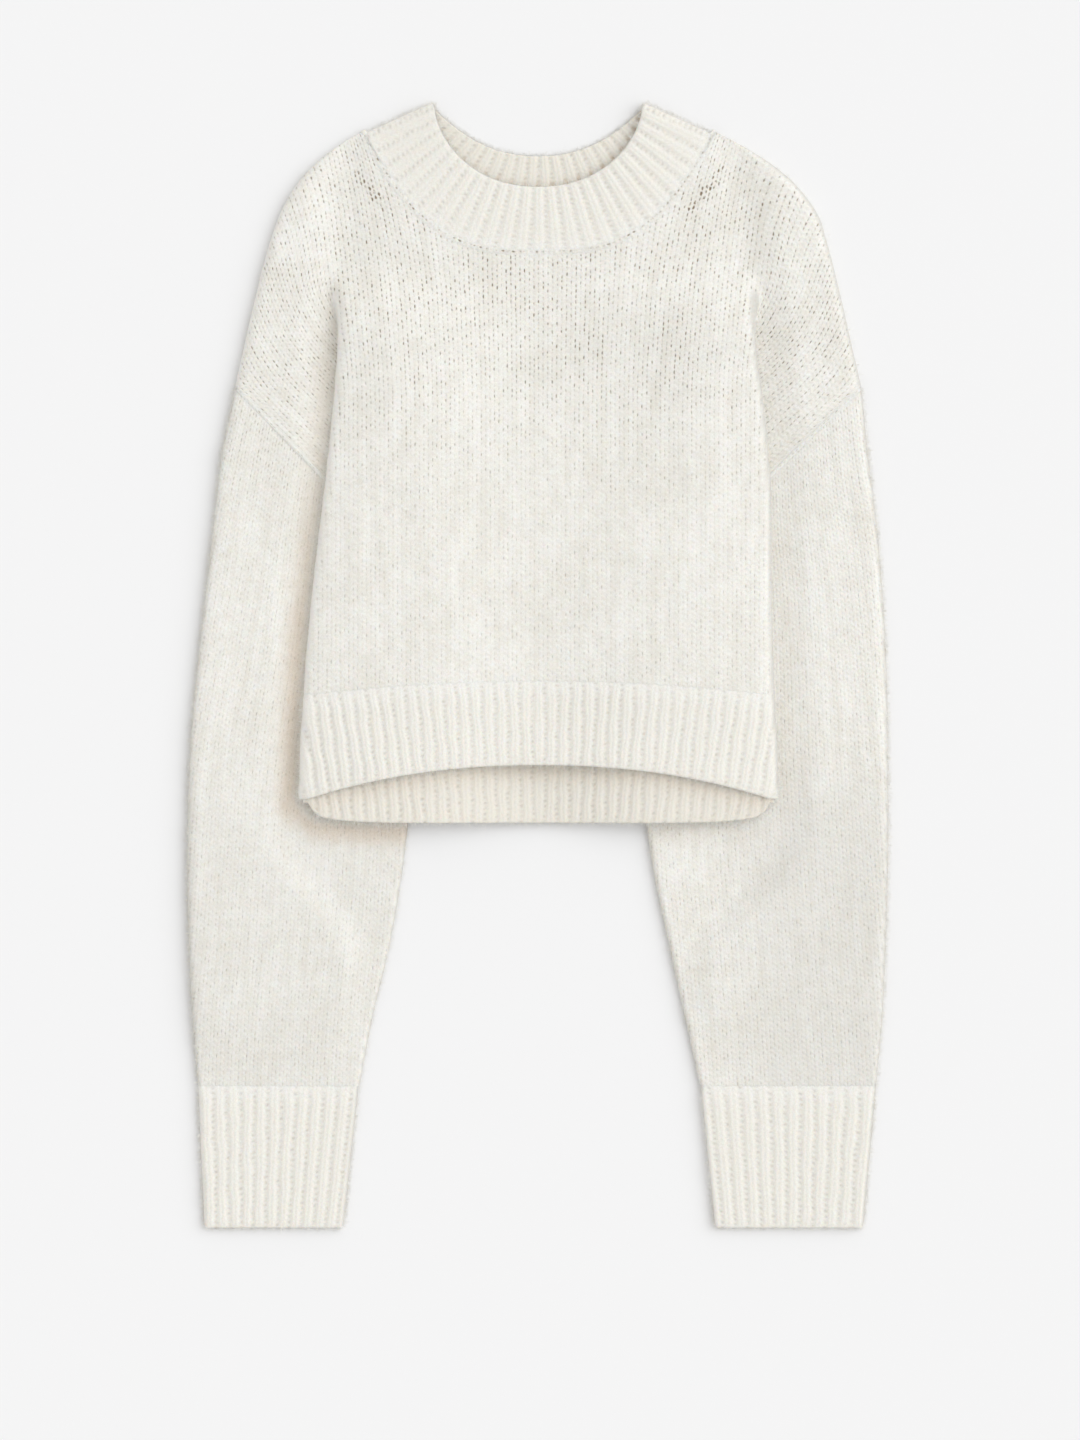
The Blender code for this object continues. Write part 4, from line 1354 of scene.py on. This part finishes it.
def below_front_hem(out, height):
    """Strength of the painted shade on the back hem's inside right below the edge of the front
    hem.
    """
    edge = powers(HEM_EDGE["front"], np.minimum(out / HEM_HALF_WIDTH, 1.0))
    away = np.maximum(edge - height, 0)
    shown = HEM_NOOK_RIM + HEM_NOOK * ease(away / HEM_NOOK_RIM_WIDTH)
    return shown * np.exp(-((away / HEM_NOOK_REACH) ** 2))


def behind_collar(across, height):
    """Strength of the painted shade on the neckband's back half right above the edge of its front
    half.
    """
    rise = neck_share(np.abs(across) / COLLAR_HALF_WIDTH, NECK_SHAPE["front"], 1.0)
    edge = NECK_SHAPE["front"]["collar_low"]
    away = np.maximum(height - edge - (COLLAR_TOP - edge) * rise, 0) * np.sqrt(1.01 - rise)
    rightward = ease((across + COLLAR_NOOK_FADE) / (2 * COLLAR_NOOK_FADE))
    shown = COLLAR_NOOK + COLLAR_NOOK_MORE * rightward
    return shown * np.exp(-((away / COLLAR_NOOK_REACH) ** 2))


def hollow_shade_strength(name, side, x, y, z, up):
    """Strength of the painted shade on the points of a piece, 0 to 1, on one side of the garment.
    """
    if name == "back_hem":
        return below_front_hem(np.abs(x), y) * ease(up * UP_FADE)
    if name == "neckband":
        return behind_collar(x, y) * (z < REST - HALF + 1.5) * ease(up * UP_FADE)
    if name.startswith("sleeve"):
        return beside_body(side, np.abs(x), y) * (up > NOOK_LEAST_UP)
    if name == "front_panel":
        beyond = np.abs(x) > fold_edge(side, y) - 0.5
        return beside_body(side, np.abs(x), y) * (up > NOOK_LEAST_UP) * beyond
    return 0 * x


def mark_shades(name, piece):
    """Marks the painted edge light and shade and the painted shade in hollows on each point of a
    piece.
    """
    size = len(piece.data.vertices) * 3
    slopes, places = np.zeros(size, dtype=np.float32), np.zeros(size, dtype=np.float32)
    piece.data.vertex_normals.foreach_get("vector", slopes)
    piece.data.vertices.foreach_get("co", places)
    x, y, z = places.reshape(-1, 3).T.astype(float) / MM
    painted_nook_shades = {side: hollow_shade_strength(name, side, x, y, z, slopes[2::3]) for side in FLIP}
    painted_nook_shade = np.where(x >= 0, painted_nook_shades["right"], painted_nook_shades["left"])
    toward = slopes[0::3] * WINDOW[0] + slopes[1::3] * WINDOW[1]
    painted_shading = np.sign(toward) * ease((np.abs(toward) - ASPECT_LEAST) / ASPECT_RANGE)
    # The sleeves are also made darker towards the cuffs, the right one most on its outer side.
    if name.startswith("sleeve"):
        right = DULL_SLEEVE["right"] * ease((np.abs(x) - DULL_OUT) / DULL_OUT_FADE)
        dull = np.where(x < 0, DULL_SLEEVE["left"], right)
        painted_shading = np.maximum(painted_shading, dull * ease((DULL_LOW - y) / DULL_LOW_FADE))
    for label, values in (("painted_shading", painted_shading), ("painted_nook_shade", painted_nook_shade)):
        marks = piece.data.attributes.new(label, "FLOAT", "POINT")
        marks.data.foreach_set("value", values.astype(np.float32))


print("nook beside the left fold at the underarm, 0 to 1:",
      round(float(beside_body("left", fold_edge("left", UNDERARM) + 7.0, UNDERARM)), 2))

# %% [markdown]
# ## Plain knitting
# The openings between the V stitches are painted dark, as the shade inside each hole.  More
# of them are painted darker in the looser cloth near the shoulders, and along the short
# narrowing beside the neck they are also wider.

# %% Plain knitting
YARN = (0.915, 0.907, 0.867, 1.0)
RIB_YARN = (0.89, 0.875, 0.82, 1.0)
# Painted shade for the inside faces that show under the front hem and behind the collar.
INSIDE_PAINTED_SHADE = (0.84, 0.805, 0.725, 1.0)
# Painted shade inside stitch openings and rib grooves.
OPENING_PAINTED_SHADE = (0.27, 0.215, 0.15, 1.0)
SHADED = (0.755, 0.73, 0.66, 1.0)
# Painted shade and painted light for edges that face towards and away from the window.
PAINTED_SHADING_DARK = (0.62, 0.606, 0.565, 1.0)
PAINTED_SHADING_LIGHT = (0.96, 0.94, 0.895, 1.0)
# Warm painted shade for cloth beside folds and under edges.
NOOK_PAINTED_SHADE = (0.80, 0.66, 0.54, 1.0)
WOOL = {
    "Roughness": 0.92,
    "Specular IOR Level": 0.18,
    "Sheen Weight": 0.35,
    "Sheen Roughness": 0.45,
    "Sheen Tint": (1.0, 0.985, 0.95, 1.0),
    "Subsurface Weight": 0.3,
    "Subsurface Radius": (1.0, 0.72, 0.48),
    "Subsurface Scale": 0.0018,
}
BUMP_STRENGTH, BUMP_DISTANCE = 0.6, 0.0008
NARROWING = (117.0, 333.0)
NARROWING_RUN = (0.63, 0.78)
NARROWING_SIZE = (26, 5)
LOOSE_FROM, LOOSE_TO = 0.10, 0.25


def fashioned(place):
    """High in a short slanting streak beside the neck, where narrowing opens the stitches."""
    x, y = split(place)
    x, y = abs(x) - NARROWING[0] * MM, y - NARROWING[1] * MM
    along = x * NARROWING_RUN[0] + y * NARROWING_RUN[1]
    beside = x * NARROWING_RUN[1] - y * NARROWING_RUN[0]
    ends, edges = (part / (size * MM) for part, size in zip((along, beside), NARROWING_SIZE))
    return spread(1.0 - (ends ** 2.0 + edges ** 2.0), 0.0, 0.6)


def stitch_numbers(tree, wobble):
    """The wale and course numbers from the UV map, made a little uneven, and the place."""
    u, v = split(add_node(tree, "TexCoord", output="UV"))
    place = object_place(tree)
    u = u + (noise(place, 140.0, 3.0) * wobble - wobble / 2)
    v = v + (noise(place, 90.0, 3.0) * (wobble * 2) - wobble)
    return u, v, place


def yarn_haze(place, strand_place):
    """Fine unevenness of the yarn: loose fibres, and strands that run along it."""
    return noise(place, 1100.0, 4.0, 0.75) * 0.5 + noise(strand_place, 2.2, 3.0, 0.7) * 0.5


def yarn_shader(tree, colour, height):
    """The soft matt surface that every knitted piece shares."""
    # Painted light and shade: edges that face the window are painted darker, edges that face away
    # lighter, and cloth in hollows gets a warm painted shade.
    painted_shading = mark(tree, "painted_shading")
    colour = blend(painted_shading, colour, PAINTED_SHADING_DARK)
    colour = blend(painted_shading * -1.0, colour, PAINTED_SHADING_LIGHT)
    colour = blend(mark(tree, "painted_nook_shade"), colour, NOOK_PAINTED_SHADE, "MULTIPLY")
    bump = add_node(tree, "Bump", {
        "Strength": BUMP_STRENGTH, "Distance": BUMP_DISTANCE, "Height": height})
    set_shader(tree, {**WOOL, "Normal": bump, "Base Color": colour})


def plain_knit(name, open_share):
    """Plain knitting: V stitches with small openings between them, painted dark as shade."""
    made, tree = new_material(name)
    u, v, place = stitch_numbers(tree, 0.16)
    across = abs(sums("FRACT", u) - 0.5)
    leg = abs(sums("SINE", u * (2 * math.pi)))
    ridge = wave(v - across)
    eyelets = fashioned(place)
    narrow = eyelets * -1.7 + 2.8
    single = spread(noise(join(u * 1.9, v * 0.75), 1.0, 2.0, 0.6), 0.43, 0.70)
    gap = (1.0 - leg) ** narrow * (1.0 - ridge) ** 0.75 * (single * 0.93 + 0.07)
    haze = yarn_haze(place, join(u * 8.0, v - across))
    height = haze * 0.9 + (leg * 0.14 + ridge * 0.26 - gap)
    patch = spread(noise(place, 24.0, 3.0), 0.3, 0.7)
    # Painted shade in the openings, stronger up towards the shoulders and in the narrowing.
    loose = eyelets * 1.8 + spread(split(place)[1], LOOSE_FROM, LOOSE_TO)
    share = (patch * (open_share * 0.5) + open_share * 0.7) * (loose * 2.2 + 0.8)
    opening = sums("MINIMUM", gap * share, 1.0)
    heather = noise(join(u, v * 0.07), 0.9, 2.0) + noise(place, 130.0, 3.0, 0.6)
    tone = spread(heather * 0.24 + (patch * 0.06 + haze), 0.61, 0.92)
    mottled = blend(tone * 0.85, YARN, SHADED)
    yarn_shader(tree, blend(opening, mottled, OPENING_PAINTED_SHADE), height)
    return made


body_knit = plain_knit("body_plain_knit", 0.6)
print(body_knit.name, "has", len(body_knit.node_tree.nodes), "nodes")

# %% [markdown]
# ## Ribbed knitting
# The same yarn, with the formula of the rib: stitches on the cords, small purl bumps, and a
# warm painted shade in the grooves and between the stitches.

# %% Rib material


def rib_knit(name):
    """Ribbed knitting, with painted shade in its grooves and on the inner faces that show."""
    made, tree = new_material(name)
    u, v, place = stitch_numbers(tree, 0.08)
    off = abs(sums("FRACT", u + 0.5) - 0.5)
    groove = spread(off, 0.29, 0.47)
    cord = 1.0 - groove
    leg = abs(sums("SINE", sums("MINIMUM", off, CORD_SHARE) * (math.pi / CORD_SHARE)))
    slanted = off * -1.6 + v
    ridge, purl = wave(slanted), wave(u * 0.5 + v)
    raised = cord * (leg * (ridge * 0.6 + 0.4) * 0.34 + 0.3)
    sunk = groove * (purl * 0.5)
    haze = yarn_haze(place, join(u * 14.0, slanted))
    height = haze * 0.9 + (raised + sunk)
    single = spread(noise(place, 330.0, 2.0), 0.33, 0.7)
    # Painted shade in the grooves and between the legs of the stitches on a cord.
    dots = groove * ((1.0 - purl) * single * 0.6 + 0.08)
    between = (1.0 - leg) * (1.0 - ridge) * cord * single
    groove_painted_shade = between * 0.10 + dots * 0.42
    yarn = blend(spread(v, -0.5, 4.0), YARN, RIB_YARN)
    # The inside faces that show, under the front hem and behind the collar, are painted darker and
    # warmer as shade.
    yarn = blend(mark(tree, "inside") * 0.8, yarn, INSIDE_PAINTED_SHADE)
    mottled = blend(spread(haze, 0.38, 0.66) * 0.8, yarn, SHADED)
    yarn_shader(tree, blend(groove_painted_shade, mottled, OPENING_PAINTED_SHADE), height)
    return made


band_knit = rib_knit("band_rib_knit")
print(band_knit.name, "has", len(band_knit.node_tree.nodes), "nodes")

# %% Dress the pieces
PIECES = {
    "front_panel": (front_panel, body_knit, "body_knit"),
    "back_panel": (back_panel, body_knit, "body_knit"),
    "sleeve_left": (sleeves["left"], body_knit, "body_knit"),
    "sleeve_right": (sleeves["right"], body_knit, "body_knit"),
    "front_hem": (front_hem, band_knit, "rib_knit"),
    "back_hem": (back_hem, band_knit, "rib_knit"),
    "cuff_left": (cuffs["left"], band_knit, "rib_knit"),
    "cuff_right": (cuffs["right"], band_knit, "rib_knit"),
    "neckband": (collar, band_knit, "rib_knit"),
}
for node, (piece, finish, slot) in PIECES.items():
    piece.data.materials.clear()
    piece.data.materials.append(finish)
    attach(piece, "root")
    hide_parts(node)
    mark_shades(node, piece)
for piece in chains:
    piece.data.materials.clear()
    piece.data.materials.append(body_knit)
    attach(piece, "root")
print("dressed", len(PIECES) + len(chains), "pieces")

# %% [markdown]
# ## Fuzz
# Brushed wool is covered by loose fibres.  They soften every outline and give the surface its
# fine mottling.  Each fibre is a narrow ribbon through three points that leaves the cloth,
# wanders and comes back down, and all of them are one mesh made from arrays.  The random
# numbers start from a fixed seed, so the fuzz is the same each time.

# %% Fibres
FIBRE_STEPS = 3
STEEP = 0.5
SEEN_UP, SEEN_RISE, SIDE_UP = -0.35, 0.5, 0.8
LOOSE_SHARE, LOOSE_LONGER, LOOSE_HIGHER = 0.12, 1.7, 1.6
EDGE_SHORTER, EDGE_HIGHER = 0.55, 3.2
FIBRE_LENGTH, FIBRE_RISE, FIBRE_BEND = (1.6, 5.0), (0.25, 1.0), (-1.4, 1.4)
FIBRE_LOWEST, FIBRE_TAPER = 0.15, 0.6


def surface_points(piece, count, dice, edge_bias):
    """Random places and normals on the faces that look up or sideways, edges favoured."""
    mesh = piece.data
    mesh.calc_loop_triangles()
    corners = np.zeros(len(mesh.loop_triangles) * 3, dtype=np.int32)
    mesh.loop_triangles.foreach_get("vertices", corners)
    places = np.zeros(len(mesh.vertices) * 3, dtype=np.float32)
    mesh.vertices.foreach_get("co", places)
    triangles = places.reshape(-1, 3)[corners.reshape(-1, 3)].astype(float) / MM
    normals = np.cross(triangles[:, 1] - triangles[:, 0], triangles[:, 2] - triangles[:, 0])
    areas = np.linalg.norm(normals, axis=1) / 2 + 1e-9
    normals = normals / (2 * areas[:, None])
    upward = normals[:, 2]
    middle = triangles.mean(axis=1)
    seen = (middle[:, 2] > REST + SEEN_RISE) | (np.abs(upward) < SIDE_UP)
    seen = seen & (upward > SEEN_UP)
    weights = areas * seen * (1 + edge_bias * (np.abs(upward) < STEEP))
    picks = dice.choice(len(weights), size=count, p=weights / weights.sum())
    shares = dice.dirichlet((1.0, 1.0, 1.0), size=count)
    return (triangles[picks] * shares[:, :, None]).sum(axis=1), normals[picks]


def fibre_mesh(name, bases, normals, dice, thickness):
    """One mesh of curved ribbons that start on the cloth."""
    count = len(bases)
    random = dice.normal(size=(count, 3))
    along = random - (random * normals).sum(axis=1, keepdims=True) * normals
    along /= np.linalg.norm(along, axis=1, keepdims=True)
    aside = np.cross(normals, along)
    loose = dice.random(count) < LOOSE_SHARE
    sideways = np.abs(normals[:, 2]) < STEEP
    length, rise, bend = (dice.uniform(*limits, count)
                          for limits in (FIBRE_LENGTH, FIBRE_RISE, FIBRE_BEND))
    length = length * np.where(loose, LOOSE_LONGER, 1) * np.where(sideways, EDGE_SHORTER, 1)
    rise = rise * np.where(loose, LOOSE_HIGHER, 1) * np.where(sideways, EDGE_HIGHER, 1)
    length, rise, bend = (each[:, None, None] for each in (length, rise, bend))
    t = np.linspace(0, 1, FIBRE_STEPS)[None, :, None]
    path = (bases[:, None] + along[:, None] * t * length
            + aside[:, None] * (bend * np.sin(2.4 * t * length / 3))
            + normals[:, None] * (rise * np.sin(2.2 * t) - FIBRE_LOWEST))
    path[..., 2] = np.maximum(path[..., 2], FIBRE_LOWEST)
    run = np.gradient(path, axis=1)
    wide = np.cross(run, normals[:, None])
    wide /= np.linalg.norm(wide, axis=2, keepdims=True) + 1e-9
    half = thickness / 2 * (1 - FIBRE_TAPER * t)
    points = np.stack([path - wide * half, path + wide * half], axis=2).reshape(-1, 3) * MM
    first = np.arange(count)[:, None] * FIBRE_STEPS * 2 + np.arange(FIBRE_STEPS - 1)[None, :] * 2
    quads = (first.reshape(-1, 1) + np.array([[0, 1, 3, 2]])).astype(int)
    mesh = bpy.data.meshes.new(name)
    mesh.from_pydata(points.tolist(), [], quads.tolist())
    made = bpy.data.objects.new(name, mesh)
    bpy.context.scene.collection.objects.link(made)
    mesh.shade_smooth()
    return made


def fuzz(name, sources, thickness=0.17):
    """Fuzz over several pieces, each with its number of fibres and its bias to edges."""
    dice = np.random.default_rng(len(name))
    many = 1 if fine else 0.4
    found = [surface_points(piece, int(count * many), dice, bias)
             for piece, count, bias in sources]
    bases, normals = (np.concatenate([pair[i] for pair in found]) for i in (0, 1))
    made = fibre_mesh(name, bases, normals, dice, thickness)
    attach(made, "root")
    return made


body_fuzz = fuzz("body_fuzz", (
    (front_panel, 6400, 14.0),
    (sleeves["left"], 8500, 45.0),
    (sleeves["right"], 8500, 45.0),
))
rib_fuzz = fuzz("rib_fuzz", (
    (front_hem, 5200, 40.0),
    (back_hem, 6000, 40.0),
    (cuffs["left"], 3200, 40.0),
    (cuffs["right"], 3200, 40.0),
    (collar, 6400, 35.0),
))

# %% Fibre material
FIBRE_PALE, FIBRE_DEEP = (0.93, 0.92, 0.88, 1.0), (0.80, 0.77, 0.70, 1.0)
fibre_wool, fibre_tree = new_material("loose_wool_fibre")
fibre_tone = spread(noise(object_place(fibre_tree), 420.0), 0.35, 0.7)
set_shader(fibre_tree, {
    "Roughness": 0.8,
    "Specular IOR Level": 0.25,
    "Sheen Weight": 0.5,
    "Base Color": blend(fibre_tone, FIBRE_PALE, FIBRE_DEEP),
})
for piece in (body_fuzz, rib_fuzz):
    piece.data.materials.append(fibre_wool)
tell_triangles(body_fuzz, rib_fuzz)

# %% [markdown]
# ## How the pieces lie
# The panels and hems are folded by the pleats; the tubes and the neckband lie flat, and their
# cut is the whole way round.

# %% [markdown]
# ## Floor, light and camera
# The garment lies on a pale seamless floor and is seen straight from above.  A large soft
# light from the upper right gives short soft shadows on the other side, and a dome of pale
# light keeps them light.

# %% Floor
select()
bpy.ops.mesh.primitive_plane_add(size=6.0, location=(0, 0, 0))
floor = bpy.context.active_object
floor.name = floor.data.name = "pale_floor"
paint, paint_tree = new_material("pale_paper")
set_shader(paint_tree, {"Base Color": (0.86, 0.86, 0.86, 1), "Roughness": 0.9})
floor.data.materials.append(paint)

# %% Lights
SKY, SKY_SLOPE = 0.76, 0.2
KEY_COLOUR = (0.985, 1.003, 1.035)
world = bpy.data.worlds.new("pale_room")
world.use_nodes = True
direction = add_node(world.node_tree, "TexCoord", output="Generated")
facing = add_node(world.node_tree, "VectorMath", {0: direction, 1: (*WINDOW, 0.0)}, "Value",
                  operation="DOT_PRODUCT")
sky = world.node_tree.nodes["Background"]
feed(sky.inputs["Color"], (1.006, 0.999, 0.988, 1.0))
feed(sky.inputs["Strength"], facing * (SKY * SKY_SLOPE) + SKY)
bpy.context.scene.world = world


def far_window(name, azimuth, elevation, softness, strength, colour):
    """Even light from one side, as from a large window far away; angles in degrees."""
    bpy.ops.object.light_add(type="SUN", location=(0, 0, 1.5))
    lamp = bpy.context.active_object
    lamp.name = lamp.data.name = name
    lamp.data.energy = strength
    lamp.data.angle = math.radians(softness)
    lamp.data.color = colour
    lamp.rotation_euler = (0, math.radians(90 - elevation), math.radians(azimuth))
    return lamp


far_window("key_window", azimuth=24.0, elevation=45.0, softness=60.0, strength=1.335,
           colour=KEY_COLOUR)

# %% Camera
FRAME_CENTRE = (1.05 * MM, -37.1 * MM)
FRAME_TALL = 1.008
LENS, SENSOR = 85.0, 36.0
bpy.ops.object.camera_add(rotation=(0, 0, 0))
camera = bpy.context.active_object
camera.name = "overhead_camera"
camera.data.lens = LENS
camera.data.sensor_fit = "VERTICAL"
camera.data.sensor_height = SENSOR
camera.location = (*FRAME_CENTRE, FRAME_TALL * LENS / SENSOR)
bpy.context.scene.camera = camera
bpy.context.scene.view_settings.view_transform = "Standard"
print("camera height in metres:", round(camera.location.z, 3))
